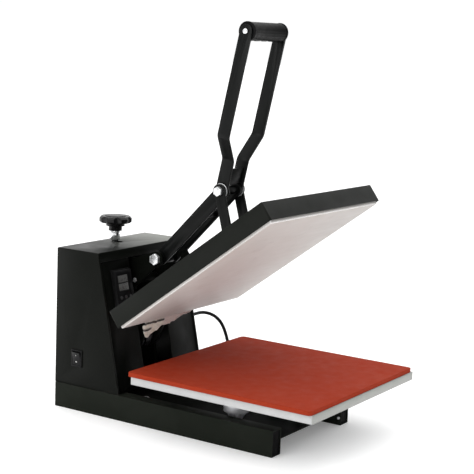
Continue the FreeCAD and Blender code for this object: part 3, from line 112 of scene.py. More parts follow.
def coil_points():
    """Three turns inwards on the bench, three outwards on top, half a turn beside them."""
    radii = (50.3, 43.2, 36.1, 29.0, 29.0, 36.1, 43.2, 50.3)
    low, high = 3.65, 10.75
    start, steps, turns = -12, 20, 6.53
    step_over, step_up = 0.16, 0.18
    up_from, down_from = 2.8, 6.16
    # The curve runs inside its points, at this share of their distance from the middle.
    cut_inside = 0.988
    points = []
    for step in range(2, int(turns * steps) - 1):
        travelled = step / steps
        turn = int(travelled)
        share = travelled - turn
        radius = radii[turn] + (radii[turn + 1] - radii[turn]) * smooth(share / step_over)
        if travelled < 3:
            lift = smooth((travelled - up_from) / step_up)
        else:
            lift = 1 - smooth((travelled - down_from) / step_up)
        angle = math.radians(start + 360 * travelled)
        reach = radius / cut_inside
        points.append((COIL_CENTRE.x + reach * math.cos(angle),
                       COIL_CENTRE.y + reach * math.sin(angle), low + (high - low) * lift))
    return points


def add_cord():
    route = CORD_OUT + coil_points() + CORD_IN
    curve = bpy.data.curves.new("mains_lead", "CURVE")
    curve.dimensions = "3D"
    # The points' own radius sets the thickness, so that the curve's box fits the tube.
    curve.bevel_depth = 1
    curve.bevel_resolution = 5
    curve.resolution_u = 6
    curve.use_fill_caps = True
    spline = curve.splines.new("NURBS")
    spline.points.add(len(route) - 1)
    for point, place in zip(spline.points, route):
        point.co = (*(value * MM for value in place), 1)
        point.radius = CORD_DIAMETER / 2
    spline.order_u = 3
    spline.use_endpoint_u = True
    lead = bpy.data.objects.new("mains_lead", curve)
    bpy.context.scene.collection.objects.link(lead)
    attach(lead, "frame")
    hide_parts("power_cord", "power_cord_coil")
    return lead


lead = add_cord()


# ---------------------------------------------------------------- materials

class Paint:
    """A material with a Principled shader and helpers for its procedural detail."""

    def __init__(self, name, colour, roughness, metallic=0.0, turn=0.0, **shader):
        self.material = bpy.data.materials.new(name)
        self.material.use_nodes = True
        self.tree = self.material.node_tree
        self.shader = self.tree.nodes["Principled BSDF"]
        self.shader.inputs["Base Color"].default_value = (*colour, 1)
        self.shader.inputs["Roughness"].default_value = roughness
        self.shader.inputs["Metallic"].default_value = metallic
        for socket, value in shader.items():
            self.shader.inputs[socket.replace("_", " ")].default_value = value
        self.place = self.add("ShaderNodeTexCoord").outputs["Object"]
        self.turn = turn

    def add(self, kind, **settings):
        node = self.tree.nodes.new(kind)
        for key, value in settings.items():
            setattr(node, key, value)
        return node

    def feed(self, source, socket):
        self.tree.links.new(source, socket)

    def stretched(self, scale):
        """Object coordinates, turned about X into the piece's own plane and stretched."""
        turned = self.add("ShaderNodeMapping")
        turned.inputs["Rotation"].default_value = (self.turn, 0, 0)
        self.feed(self.place, turned.inputs["Vector"])
        sized = self.add("ShaderNodeMapping")
        sized.inputs["Scale"].default_value = scale
        self.feed(turned.outputs["Vector"], sized.inputs["Vector"])
        return sized.outputs["Vector"]

    def noise(self, size, detail=3.0, stretch=(1, 1, 1), distortion=0.0):
        """Noise whose features are about size metres across."""
        node = self.add("ShaderNodeTexNoise")
        node.inputs["Scale"].default_value = 1
        node.inputs["Detail"].default_value = detail
        node.inputs["Distortion"].default_value = distortion
        scale = tuple(part / size for part in stretch)
        self.feed(self.stretched(scale), node.inputs["Vector"])
        return node.outputs["Fac"]

    def cells(self, size):
        """Rounded cells about size metres across."""
        node = self.add("ShaderNodeTexVoronoi")
        node.inputs["Scale"].default_value = 1
        self.feed(self.stretched((1 / size,) * 3), node.inputs["Vector"])
        return node.outputs["Distance"]

    def bands(self, size, direction, distortion):
        """Parallel waves that follow each other along a direction."""
        node = self.add("ShaderNodeTexWave", bands_direction=direction)
        node.inputs["Scale"].default_value = 1
        node.inputs["Distortion"].default_value = distortion
        self.feed(self.stretched((1 / size,) * 3), node.inputs["Vector"])
        return node.outputs["Fac"]

    def ramp(self, source, low, high, start=0.0, end=1.0):
        """Source from low to high becomes a number from start to end."""
        node = self.add("ShaderNodeMapRange")
        for socket, value in zip(("From Min", "From Max", "To Min", "To Max"),
                                 (low, high, start, end)):
            node.inputs[socket].default_value = value
        self.feed(source, node.inputs["Value"])
        return node.outputs["Result"]

    def product(self, first, second):
        node = self.add("ShaderNodeMath", operation="MULTIPLY")
        for socket, value in zip(node.inputs, (first, second)):
            if isinstance(value, (int, float)):
                socket.default_value = value
            else:
                self.feed(value, socket)
        return node.outputs["Value"]

    def tint(self, amount, colour):
        """Blend another colour over what the base colour is so far."""
        base = self.shader.inputs["Base Color"]
        mix = self.add("ShaderNodeMix", data_type="RGBA")
        if base.is_linked:
            self.feed(base.links[0].from_socket, mix.inputs["A"])
        else:
            mix.inputs["A"].default_value = base.default_value
        mix.inputs["B"].default_value = (*colour, 1)
        self.feed(amount, mix.inputs["Factor"])
        self.feed(mix.outputs["Result"], base)
        return self

    def rough(self, source, low, high):
        """Let the roughness wander between two values."""
        self.feed(self.ramp(source, 0.3, 0.7, low, high), self.shader.inputs["Roughness"])
        return self

    def relief(self, source, depth):
        """Raise the surface by depth metres where the source is one."""
        bump = self.add("ShaderNodeBump")
        bump.inputs["Strength"].default_value = 1
        bump.inputs["Distance"].default_value = depth
        self.feed(source, bump.inputs["Height"])
        normal = self.shader.inputs["Normal"]
        if normal.is_linked:
            self.feed(normal.links[0].from_socket, bump.inputs["Normal"])
        self.feed(bump.outputs["Normal"], normal)
        return self

    def edge_mask(self, radius):
        """One on the piece's sharp edges and nothing elsewhere."""
        rounded = self.add("ShaderNodeBevel", samples=4)
        rounded.inputs["Radius"].default_value = radius
        flat = self.add("ShaderNodeNewGeometry")
        compare = self.add("ShaderNodeVectorMath", operation="DOT_PRODUCT")
        self.feed(rounded.outputs["Normal"], compare.inputs[0])
        self.feed(flat.outputs["Normal"], compare.inputs[1])
        return self.ramp(compare.outputs["Value"], 0.995, 0.93)

    def top_dust_and_painted_light(self):
        """One on faces that look up, thicker towards +X, and nothing elsewhere: the mask of dust
        that is also painted light, leaving painted shade at the left of the top.
        """
        normal = self.add("ShaderNodeSeparateXYZ")
        self.feed(self.add("ShaderNodeNewGeometry").outputs["Normal"], normal.inputs[0])
        return self.product(self.ramp(normal.outputs["Z"], 0.8, 0.97),
                            self.along("X", -0.06, 0.11))

    def along(self, axis, low, high, end=1.0):
        """From nothing to the end value between two places along an axis, in metres."""
        place = self.add("ShaderNodeSeparateXYZ")
        self.feed(self.place, place.inputs[0])
        return self.ramp(place.outputs[axis], low, high, 0, end)

    def mesh_value(self, name):
        """A number that the mesh carries at its points."""
        return self.add("ShaderNodeAttribute", attribute_name=name).outputs["Fac"]


def powder_coat(name, tone, shine, gloss, turn=0.0, dust_and_painted_light=0.0):
    """Black powder coat: fine orange peel, dust that also paints light on the tops, faint smears
    and worn edges.
    """
    paint = Paint(name, (tone, tone * 1.18, tone * 0.9), shine, turn=turn,
                  Specular_IOR_Level=gloss)
    smear = paint.noise(0.09, 4, distortion=0.8)
    paint.tint(paint.ramp(smear, 0.45, 0.75, 0, 0.35), (tone * 2, tone * 2.2, tone * 1.85))
    speck = paint.noise(0.0011, 2)
    paint.tint(paint.ramp(speck, 0.66, 0.78, 0, 0.25), (0.045, 0.045, 0.042))
    if dust_and_painted_light:
        # Up-facing faces lighter, more so towards +X: partly dust, partly painted light, with
        # the knob's painted shade on the left of the top and a painted reflection on its right.
        layer = paint.ramp(smear, 0.3, 0.7, dust_and_painted_light * 0.8, dust_and_painted_light)
        paint.tint(paint.product(paint.top_dust_and_painted_light(), layer), (0.25, 0.256, 0.235))
    worn = paint.product(paint.edge_mask(0.0012), paint.ramp(paint.noise(0.02, 5), 0.45, 0.7))
    paint.tint(paint.product(worn, 0.4), (0.08, 0.08, 0.076))
    paint.rough(paint.noise(0.05, 4), shine - 0.05, shine + 0.09)
    paint.relief(paint.noise(0.0016, 3), 0.00006)
    return paint.material


def bar_paint(name, turn):
    """Smoother black paint of the lever's bars, with drawn lines along the metal."""
    paint = Paint(name, (0.0048, 0.0053, 0.0051), 0.36, turn=turn, Specular_IOR_Level=0.12)
    paint.tint(paint.ramp(paint.noise(0.05, 4), 0.45, 0.75, 0, 0.35), (0.010, 0.011, 0.010))
    patches = paint.ramp(paint.noise(0.012, 5), 0.42, 0.65)
    worn = paint.product(paint.edge_mask(0.0009), patches)
    paint.tint(paint.product(worn, 0.5), (0.14, 0.14, 0.135))
    paint.rough(paint.noise(0.03, 3), 0.28, 0.42)
    paint.relief(paint.noise(0.0014, 3), 0.00004)
    paint.relief(paint.noise(0.004, 2, stretch=(1, 0.05, 1)), 0.00003)
    return paint.material


def machined_aluminium(name):
    """Milled casting: tool marks along its sides, grey mottling, small pits and painted shade on
    its front face.
    """
    paint = Paint(name, (0.52, 0.525, 0.525), 0.42, metallic=0.6)
    paint.tint(paint.ramp(paint.noise(0.03, 4), 0.35, 0.75, 0, 0.5), (0.44, 0.445, 0.445))
    paint.tint(paint.ramp(paint.noise(0.0035, 3), 0.62, 0.74, 0, 0.4), (0.36, 0.36, 0.36))
    # Painted shade: the front face, at -Y, darker than the other sides.
    paint.tint(paint.along("Y", -0.3005, -0.3033, 0.6), (0.24, 0.245, 0.215))
    paint.rough(paint.noise(0.006, 3, stretch=(1, 1, 6)), 0.36, 0.52)
    paint.relief(paint.noise(0.0012, 2, stretch=(0.12, 0.12, 1)), 0.00004)
    paint.relief(paint.noise(0.0021, 3), 0.00005)
    return paint.material


def cast_aluminium(name):
    """Rough die casting of the support posts."""
    paint = Paint(name, (0.80, 0.80, 0.83), 0.34, metallic=0.7)
    paint.tint(paint.ramp(paint.noise(0.008, 4), 0.4, 0.7, 0, 0.2), (0.66, 0.66, 0.68))
    paint.rough(paint.noise(0.004, 3), 0.30, 0.40)
    paint.relief(paint.noise(0.0025, 4), 0.00003)
    return paint.material


def heated_aluminium(name):
    """Ground heating plate: fine grinding lines, a pinkish heat tint, faint stains, painted
    shade towards +X and the front, and a painted highlight on its edges.
    """
    paint = Paint(name, (0.65, 0.63, 0.605), 0.5, metallic=0.15, turn=OPENING,
                  Specular_IOR_Level=0.3)
    paint.tint(paint.ramp(paint.noise(0.20, 3), 0.35, 0.7, 0, 0.7), (0.59, 0.54, 0.505))
    paint.tint(paint.ramp(paint.noise(0.03, 5, distortion=1.2), 0.56, 0.78, 0, 0.25),
               (0.45, 0.40, 0.375))
    # Painted shade: the plate darker towards +X and towards the front.
    for axis, low, high in (("X", -0.05, 0.19), ("Y", 0.02, -0.15)):
        paint.tint(paint.along(axis, low, high, 0.24), (0.25, 0.25, 0.245))
    # Painted highlight: the plate's rounded edges painted near white.
    paint.tint(paint.edge_mask(0.004), (0.98, 0.98, 0.98))
    paint.rough(paint.noise(0.012, 4, stretch=(0.2, 1, 1)), 0.42, 0.56)
    paint.relief(paint.noise(0.0011, 2, stretch=(0.03, 1, 1)), 0.00002)
    return paint.material


def silicone(name):
    """Terracotta silicone sheet: closed-cell grain, chalky bloom, darker patches."""
    paint = Paint(name, (0.30, 0.030, 0.010), 0.78, Specular_IOR_Level=0.07)
    paint.tint(paint.ramp(paint.noise(0.12, 3), 0.4, 0.75, 0, 0.55), (0.33, 0.041, 0.017))
    paint.tint(paint.ramp(paint.noise(0.016, 5), 0.5, 0.8, 0, 0.3), (0.22, 0.022, 0.008))
    paint.tint(paint.ramp(paint.noise(0.0013, 2), 0.66, 0.76, 0, 0.3), (0.38, 0.07, 0.035))
    paint.rough(paint.noise(0.02, 3), 0.66, 0.84)
    paint.relief(paint.cells(0.0011), 0.00007)
    paint.relief(paint.noise(0.03, 2), 0.00025)
    return paint.material


def bright_metal(name, shine, metallic):
    """Bright plated steel with a grain and the odd dull patch."""
    paint = Paint(name, (0.90, 0.91, 0.92), shine, metallic=metallic)
    paint.tint(paint.ramp(paint.noise(0.004, 4), 0.5, 0.75, 0, 0.4), (0.70, 0.70, 0.70))
    paint.rough(paint.noise(0.003, 4), shine * 0.8, shine * 1.4)
    paint.relief(paint.noise(0.0009, 2), 0.00002)
    return paint.material


def oiled_steel(name):
    """Dark steel inside the machine, with drawn lines and grease."""
    paint = Paint(name, (0.10, 0.10, 0.105), 0.42, metallic=0.9)
    paint.tint(paint.ramp(paint.noise(0.01, 4), 0.4, 0.7, 0, 0.7), (0.045, 0.042, 0.04))
    paint.rough(paint.noise(0.006, 3), 0.25, 0.5)
    paint.relief(paint.noise(0.0009, 2, stretch=(1, 0.1, 0.1)), 0.00003)
    return paint.material


def grained_plastic(name, tone, shine, gloss, grain=0.0009, depth=0.00005):
    """Black moulded plastic with a spark-eroded grain."""
    paint = Paint(name, (tone, tone, tone * 1.05), shine, Specular_IOR_Level=gloss)
    paint.tint(paint.ramp(paint.noise(0.02, 4), 0.45, 0.75, 0, 0.4),
               (tone * 1.8, tone * 1.8, tone * 1.85))
    paint.rough(paint.noise(0.01, 3), shine - 0.06, shine + 0.08)
    paint.relief(paint.cells(grain), depth)
    return paint.material


def gloss_plastic(name, colour):
    """Polished moulding of the power rocker."""
    paint = Paint(name, colour, 0.30, Specular_IOR_Level=0.16)
    paint.tint(paint.ramp(paint.noise(0.003, 3), 0.5, 0.8, 0, 0.25),
               tuple(part * 1.8 for part in colour))
    paint.rough(paint.noise(0.004, 3), 0.24, 0.36)
    paint.relief(paint.noise(0.0018, 2), 0.00001)
    return paint.material


def smoked_window(name):
    """Display window: smoked acrylic that takes the sky's light, with faint streaks."""
    paint = Paint(name, (0.125, 0.125, 0.122), 0.3, Specular_IOR_Level=0.4)
    paint.tint(paint.ramp(paint.noise(0.03, 3), 0.4, 0.75, 0, 0.4), (0.108, 0.107, 0.104))
    paint.rough(paint.noise(0.003, 2), 0.22, 0.36)
    paint.relief(paint.noise(0.002, 2), 0.00001)
    return paint.material


def rubber(name):
    """Dull black rubber or soft PVC, with a bloom on it."""
    paint = Paint(name, (0.012, 0.012, 0.012), 0.55, Specular_IOR_Level=0.4)
    paint.tint(paint.ramp(paint.noise(0.006, 4), 0.45, 0.75, 0, 0.5), (0.035, 0.034, 0.033))
    paint.rough(paint.noise(0.004, 3), 0.45, 0.65)
    paint.relief(paint.noise(0.0007, 2), 0.00003)
    return paint.material


def cord_jacket(name):
    """Satin PVC jacket with the slight ripple of the cores under it."""
    paint = Paint(name, (0.008, 0.008, 0.0085), 0.5, Specular_IOR_Level=0.16)
    paint.tint(paint.ramp(paint.noise(0.015, 3), 0.45, 0.7, 0, 0.5), (0.015, 0.015, 0.0155))
    paint.rough(paint.noise(0.01, 3), 0.44, 0.6)
    paint.relief(paint.noise(0.005, 2), 0.00012)
    return paint.material


def glass_cloth(name):
    """Woven glass-fibre cloth, yellowed by heat, with painted shade in its creases and painted
    pink light towards +X.
    """
    paint = Paint(name, (0.96, 0.94, 0.85), 0.75, turn=OPENING, Sheen_Weight=0.25,
                  Sheen_Roughness=0.4)
    paint.tint(paint.ramp(paint.noise(0.014, 4), 0.42, 0.72, 0, 0.6), (0.76, 0.72, 0.58))
    paint.tint(paint.ramp(paint.noise(0.006, 4), 0.60, 0.78, 0, 0.5), (0.28, 0.23, 0.16))
    # Painted reflected light: the cloth pinker towards +X, standing in for light bounced from
    # the red pad.
    paint.tint(paint.along("X", -0.052, -0.040), (0.74, 0.64, 0.61))
    weave = paint.product(paint.bands(0.0042, "X", 0.6), paint.bands(0.0042, "Y", 0.6))
    paint.tint(paint.ramp(weave, 0.0, 0.25, 0.25, 0), (0.34, 0.29, 0.23))
    # Painted shade in the creases and in the gap under the plate's edge.
    paint.tint(paint.mesh_value("painted_crease_shade"), (0.012, 0.010, 0.008))
    paint.relief(weave, 0.00025)
    paint.relief(paint.noise(0.006, 3), 0.0011)
    return paint.material


def brass(name):
    """Drawn brass of the plug's pins."""
    paint = Paint(name, (0.78, 0.60, 0.30), 0.25, metallic=1.0)
    paint.tint(paint.ramp(paint.noise(0.004, 4), 0.45, 0.7, 0, 0.5), (0.55, 0.40, 0.18))
    paint.rough(paint.noise(0.003, 3), 0.18, 0.36)
    paint.relief(paint.noise(0.0008, 2), 0.00001)
    return paint.material


def grey_plastic(name):
    """Dark grey caps of the controller's buttons."""
    paint = Paint(name, (0.035, 0.035, 0.036), 0.4)
    paint.tint(paint.ramp(paint.noise(0.002, 3), 0.45, 0.7, 0, 0.5), (0.022, 0.022, 0.022))
    paint.rough(paint.noise(0.002, 3), 0.32, 0.5)
    paint.relief(paint.cells(0.0006), 0.00002)
    return paint.material


HANDLE_TURN = -math.radians(12)
MATERIALS = {
    # The case's tops carry dust and painted light.
    "case": powder_coat("case_coat", 0.0040, 0.36, 0.08, dust_and_painted_light=0.95),
    "front": powder_coat("front_coat", 0.0025, 0.50, 0.07),
    "base": powder_coat("base_coat", 0.0115, 0.50, 0.03),
    "inner": powder_coat("inner_coat", 0.003, 0.60, 0.02),
    "cover": powder_coat("cover_coat", 0.0058, 0.42, 0.11, turn=OPENING),
    "bar": bar_paint("bar_paint", HANDLE_TURN),
    "milled": machined_aluminium("milled_aluminium"),
    "cast": cast_aluminium("cast_aluminium"),
    "heated": heated_aluminium("heated_aluminium"),
    "silicone": silicone("silicone_sheet"),
    "zinc": bright_metal("bright_zinc", 0.26, 0.65),
    "chrome": bright_metal("bright_chrome", 0.14, 0.95),
    "steel": oiled_steel("oiled_steel"),
    "plastic": grained_plastic("grained_plastic", 0.005, 0.46, 0.14),
    "cap": grained_plastic("cap_plastic", 0.002, 0.6, 0.05),
    "knob": grained_plastic("knob_plastic", 0.007, 0.26, 0.26, 0.0014, 0.00002),
    "grip": grained_plastic("grip_plastic", 0.003, 0.42, 0.07, 0.0012, 0.00002),
    "rocker": gloss_plastic("rocker_plastic", (0.006, 0.006, 0.0065)),
    "button": grey_plastic("grey_plastic"),
    "window": smoked_window("smoked_window"),
    "rubber": rubber("black_rubber"),
    "jacket": cord_jacket("cord_jacket"),
    "cloth": glass_cloth("glass_cloth"),
    "brass": brass("brass"),
}

FINISHES = {
    "case": ("housing_shell", "rear_panel"),
    "front": ("front_panel",),
    "base": ("left_base_rail", "right_base_rail"),
    "inner": ("beam_spreaders", "base_deck", "left_pivot_plate", "right_pivot_plate",
              "frame_spreaders", "stop_stud"),
    "cover": ("platen_cover", "left_beam_plate", "right_beam_plate"),
    "bar": ("left_lever_arm", "right_lever_arm", "left_link", "right_link",
            "left_handle_bar", "right_handle_bar", "handle_web", "lever_tubes"),
    "milled": ("lower_platen",),
    "cast": ("support_posts",),
    "heated": ("heating_plate",),
    "zinc": ("frame_bolts", "lever_pivot_bolt", "platen_pivot_bolt", "elbow_bolts",
             "elbow_pin", "platen_bolts"),
    "chrome": ("pressure_screw",),
    "steel": ("main_hinge_shaft", "pressure_nut", "heating_element"),
    "plastic": ("controller_case", "switch_bezel"),
    "cap": ("rail_end_caps",),
    "knob": ("pressure_knob", "knob_cap"),
    "grip": ("hand_grip",),
    "rocker": ("power_rocker",),
    "button": ("set_button", "up_button", "down_button"),
    "window": ("display_windows",),
    "rubber": ("stop_buffer",),
    "brass": ("plug_pins",),
}
USUAL_EDGE = 0.4
# Edge radius in millimetres where it isn't the usual one.
EDGES = {"left_base_rail": 1.6, "right_base_rail": 1.6, "housing_shell": 0.7,
         "lower_platen": 0.8, "heating_plate": 2.4, "platen_cover": 0.8,
         "controller_case": 0.5, "hand_grip": 0.8, "pressure_knob": 0.9,
         "power_rocker": 0.5, "set_button": 0.3, "up_button": 0.3, "down_button": 0.3,
         "display_windows": 0.2, "plug_pins": 0.3, "rail_end_caps": 0.5,
         "stop_buffer": 0.8}
# Points closer than this, in metres, are one point.
SAME_POINT = 0.00002


def set_material(piece, material):
    piece.data.materials.clear()
    piece.data.materials.append(material)


def soften(piece, radius):
    """Round a piece's edges and smooth its curved faces, with modifiers only."""
    for polygon in piece.data.polygons:
        polygon.use_smooth = True
    weld = piece.modifiers.new("weld", "WELD")
    weld.merge_threshold = SAME_POINT
    flat = piece.modifiers.new("flat", "DECIMATE")
    flat.decimate_type = "DISSOLVE"
    flat.angle_limit = math.radians(0.3)
    bevel = piece.modifiers.new("edges", "BEVEL")
    bevel.width = radius
    bevel.segments = 2
    bevel.limit_method = "ANGLE"
    bevel.angle_limit = math.radians(32)
    bevel.harden_normals = True
    bevel.use_clamp_overlap = True


for finish, names in FINISHES.items():
    for name in names:
        set_material(NODES[name], MATERIALS[finish])
        soften(NODES[name], EDGES.get(name, USUAL_EDGE) * MM)
set_material(lead, MATERIALS["jacket"])


# ---------------------------------------------------------------- mesh helpers

def new_piece(name, mesh, material, body, replaced=()):
    """Add a piece that rides on a body, shows a slot's material and replaces CAD nodes."""
    piece = bpy.data.objects.new(name, mesh)
    bpy.context.scene.collection.objects.link(piece)
    set_material(piece, material)
    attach(piece, body)
    if replaced:
        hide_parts(*replaced)
    return piece


def mesh_from(name, points, faces):
    mesh = bpy.data.meshes.new(name)
    mesh.from_pydata([tuple(point) for point in points], [], faces)
    mesh.validate()
    for polygon in mesh.polygons:
        polygon.use_smooth = True
    mesh.update()
    return mesh


def ring_faces(rings, count, closed_ends=True):
    """Quads between successive rings of count points, and a cap at each end."""
    faces = []
    for ring in range(rings - 1):
        for index in range(count):
            after = (index + 1) % count
            faces.append((ring * count + index, ring * count + after,
                          (ring + 1) * count + after, (ring + 1) * count + index))
    if closed_ends:
        faces.append(tuple(reversed(range(count))))
        faces.append(tuple((rings - 1) * count + index for index in range(count)))
    return faces


def two_layer_faces(columns, rows):
    """Faces of a closed sheet whose points are two grids, one layer above the other."""
    stride = columns + 1
    layer = stride * (rows + 1)
    faces = []
    for row in range(rows):
        for column in range(columns):
            corner = row * stride + column
            quad = (corner, corner + 1, corner + stride + 1, corner + stride)
            faces.append(tuple(reversed(quad)))
            faces.append(tuple(layer + index for index in quad))
    border = (list(range(columns)) + [row * stride + columns for row in range(rows)]
              + [rows * stride + column for column in range(columns, 0, -1)]
              + [row * stride for row in range(rows, 0, -1)])
    for index, start in enumerate(border):
        end = border[(index + 1) % len(border)]
        faces.append((start, end, layer + end, layer + start))
    return faces


def turned_points(profile, count):
    """Rings of points about +Z for (radius, height) pairs."""
    points = []
    for radius, height in profile:
        for index in range(count):
            angle = 2 * math.pi * index / count
            points.append(Vector((radius * math.cos(angle), radius * math.sin(angle),
                                  height)))
    return points


def joined_mesh(name, meshes):
    """One mesh from several (mesh, matrix) pairs."""
    work = bmesh.new()
    for mesh, matrix in meshes:
        copy = mesh.copy()
        copy.transform(matrix)
        work.from_mesh(copy)
        bpy.data.meshes.remove(copy)
    result = bpy.data.meshes.new(name)
    work.to_mesh(result)
    work.free()
    return result


def aimed(place, direction):
    """A matrix that moves +Z at the origin to a direction at a place."""
    turn = Vector(direction).to_track_quat("Z", "Y").to_matrix().to_4x4()
    return Matrix.Translation(Vector(place)) @ turn


# ---------------------------------------------------------------- silicone pad

def rounded_outline(low, high, radius, per_corner=8, per_side=24):
    """Points round a rectangle with round corners, anticlockwise."""
    outline = []
    corners = ((high.x, high.y), (low.x, high.y), (low.x, low.y), (high.x, low.y))

    def on_corner(number, quarters):
        """A point of a corner's arc, whose centre lies a radius inside both sides."""
        x, y = corners[number % 4]
        inward_x = math.copysign(radius, low.x + high.x - 2 * x)
        inward_y = math.copysign(radius, low.y + high.y - 2 * y)
        angle = math.radians(90 * quarters)
        return Vector((x + inward_x + radius * math.cos(angle),
                       y + inward_y + radius * math.sin(angle), 0))

    for number in range(4):
        for step in range(per_corner + 1):
            outline.append(on_corner(number, number + step / per_corner))
        start, end = outline[-1], on_corner(number + 1, number + 1)
        for step in range(1, per_side):
            outline.append(start.lerp(end, step / per_side))
    return outline


def silicone_pad():
    """Flat sponge sheet: cut sides a little hollow, soft upper rim, faint waves on top."""
    low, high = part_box("silicone_pad")
    outline = rounded_outline(low, high, 8 * MM)
    centre = (low + high) / 2
    thick = high.z - low.z
    # How far in the side lies, in metres, at each share of the thickness.
    levels = [(0.0, 0.0), (0.0001, 0.12), (0.0004, 0.5), (0.0001, 0.84), (0.0003, 0.93),
              (0.0011, 0.985), (0.0030, 1.0)]
    uneven_cut, dip_depth = 0.2 * MM, 0.15 * MM
    count = len(outline)
    points = []
    for inset, share in levels:
        for point in outline:
            inward = (Vector((centre.x, centre.y, 0)) - point).normalized()
            wobble = noise.noise(point * 60) * uneven_cut
            points.append(point + inward * (inset + max(0, wobble))
                          + Vector((0, 0, low.z + thick * share)))
    faces = ring_faces(len(levels), count, closed_ends=False)
    faces.append(tuple(reversed(range(count))))
    rings = 14
    for ring in range(1, rings):
        share = 1 - ring / rings
        for index in range(count):
            edge = points[(len(levels) - 1) * count + index]
            point = Vector((centre.x, centre.y, high.z)).lerp(edge, share)
            dip = abs(noise.noise(Vector((point.x, point.y, 0)) * 9)) * dip_depth
            point.z = high.z - dip * smooth((1 - share) * 6)
            points.append(point)
    base = (len(levels) - 1) * count
    for face in ring_faces(rings, count, closed_ends=False):
        faces.append(tuple(base + index for index in face))
    points.append(Vector((centre.x, centre.y, high.z)))
    last = base + (rings - 1) * count
    for index in range(count):
        faces.append((last + index, last + (index + 1) % count, len(points) - 1))
    mesh = mesh_from("sponge_pad", points, faces)
    pad = new_piece("sponge_pad", mesh, MATERIALS["silicone"], "frame",
                    ["silicone_pad"])


silicone_pad()


# ---------------------------------------------------------------- glass cloth

def shut_box(node):
    """Corners of an upper platen node with the press shut."""
    inverse = SWUNG_OPEN.inverted()
    points = [inverse @ vertex.co for vertex in NODES[node].data.vertices]
    low = Vector([min(point[axis] for point in points) for axis in range(3)])
    high = Vector([max(point[axis] for point in points) for axis in range(3)])
    return low, high


def heat_apron():
    """Creased apron of glass cloth: pinned along the cover's rear edge, hanging in folds."""
    low, high = shut_box("heat_apron")
    columns, rows = 120, 60
    thick = 0.9 * MM
    width = high.x - low.x
    # Share of the width, and length of cloth below the hem in millimetres.
    outline = ((0, 19), (0.04, 30), (0.085, 39), (0.11, 40), (0.20, 34), (0.30, 28),
               (0.38, 22.5), (0.53, 22), (0.66, 17), (0.78, 11), (1, 6))

    def drop_at(share):
        for (start, first), (end, last) in zip(outline, outline[1:]):
            if share <= end:
                return (first + (last - first) * (share - start) / (end - start)) * MM

    hem_share = 0.2
    hem_top = high.z - 1 * MM
    hem_low = high.z - 13 * MM
    wall = low.y + 1.2 * MM
    slope = math.radians(40)
    # The way the folds stand out, at right angles to the slope.
    out_y, out_z = 0.64, 0.77
    # Millimetres below the hem of the two creases at the left end.
    crease_at, gap_at = 23.5, 9.5
    points, painted_crease_shade = [], []
    for side in (0, 1):
        for row in range(rows + 1):
            down = row / rows
            for column in range(columns + 1):
                share = column / columns
                drop = drop_at(share)
                run = drop * max(0, down - hem_share) / (1 - hem_share)
                fall = min(1, down / hem_share)
                y = wall + run * math.cos(slope)
                z = hem_top + (hem_low - hem_top) * fall - run * math.sin(slope)
                wander = noise.noise(Vector((share * 7, down * 1.3, 3)))
                loose = smooth((down - 0.12) / 0.3)
                # Long folds that lean across the cloth, two sharp creases at its left end.
                fold = abs(math.sin(share * 17 - down * 1.6 + 2.4 * wander)) ** 0.7
                crumple = abs(noise.noise(Vector((share * 30, run * 330, 1.7))))
                left_end = 1 - smooth((share - 0.12) / 0.08)
                gap_end = 1 - smooth((share - 0.36) / 0.05)
                below = run / MM
                crease = left_end * math.exp(-((below - crease_at + 8 * share) / 2.2) ** 2)
                gap = gap_end * math.exp(-((below - gap_at) / 2.4) ** 2)
                out = loose * (1.2 + 2.4 * fold + 2.4 * crumple - 3 * crease - 2.4 * gap) * MM
                offset = out + side * thick
                # Painted shade: how dark the creases and the gap below the hem are painted.
                painted_crease_shade.append(min(1, 1.5 * (crease + gap) * loose))
                points.append(Vector((low.x + width * share, y + offset * out_y,
                                      z + offset * out_z)))
    mesh = mesh_from("cloth_apron", [SWUNG_OPEN @ point for point in points],
                     two_layer_faces(columns, rows))
    mesh.attributes.new("painted_crease_shade", "FLOAT", "POINT").data.foreach_set("value", painted_crease_shade)
    mesh.flip_normals()
    apron = new_piece("cloth_apron", mesh, MATERIALS["cloth"], "upper_platen",
                      ["heat_apron"])


def insulation():
    """Quilted glass-wool blanket between the element and the cover."""
    low, high = shut_box("insulation_blanket")
    steps, per_quilt = 30, 5
    hollow_above, hollow_below = 1.6 * MM, 3 * MM
    points = []
    for side in (0, 1):
        for row in range(steps + 1):
            for column in range(steps + 1):
                x = low.x + (high.x - low.x) * column / steps
                y = low.y + (high.y - low.y) * row / steps
                puff = abs(math.sin(column * math.pi / per_quilt)
                           * math.sin(row * math.pi / per_quilt))
                if side:
                    z = high.z - hollow_above * (1 - puff)
                else:
                    z = low.z + hollow_below * (1 - puff)
                points.append(SWUNG_OPEN @ Vector((x, y, z)))
    mesh = mesh_from("glass_wool", points, two_layer_faces(steps, steps))
    wool = new_piece("glass_wool", mesh, MATERIALS["cloth"], "upper_platen",
                     ["insulation_blanket"])


heat_apron()
insulation()


# ---------------------------------------------------------------- springs and screws

def helix(radius, wire, length, turns, leg):
    """Points of a torsion spring along +X that ends in straight legs."""
    points = []
    per_turn = 24
    total = int(turns * per_turn)
    for step in range(total + 1):
        angle = 2 * math.pi * step / per_turn
        points.append(Vector((wire / 2 + (length - wire) * step / total,
                              radius * math.cos(angle), radius * math.sin(angle))))
    start, end = points[0], points[-1]
    first_leg = [start + Vector((0, 0, -leg)) * share for share in (1, 0.5)]
    last_leg = [end + Vector((0, 0, leg)) * share for share in (0.5, 1)]
    return first_leg + points + last_leg


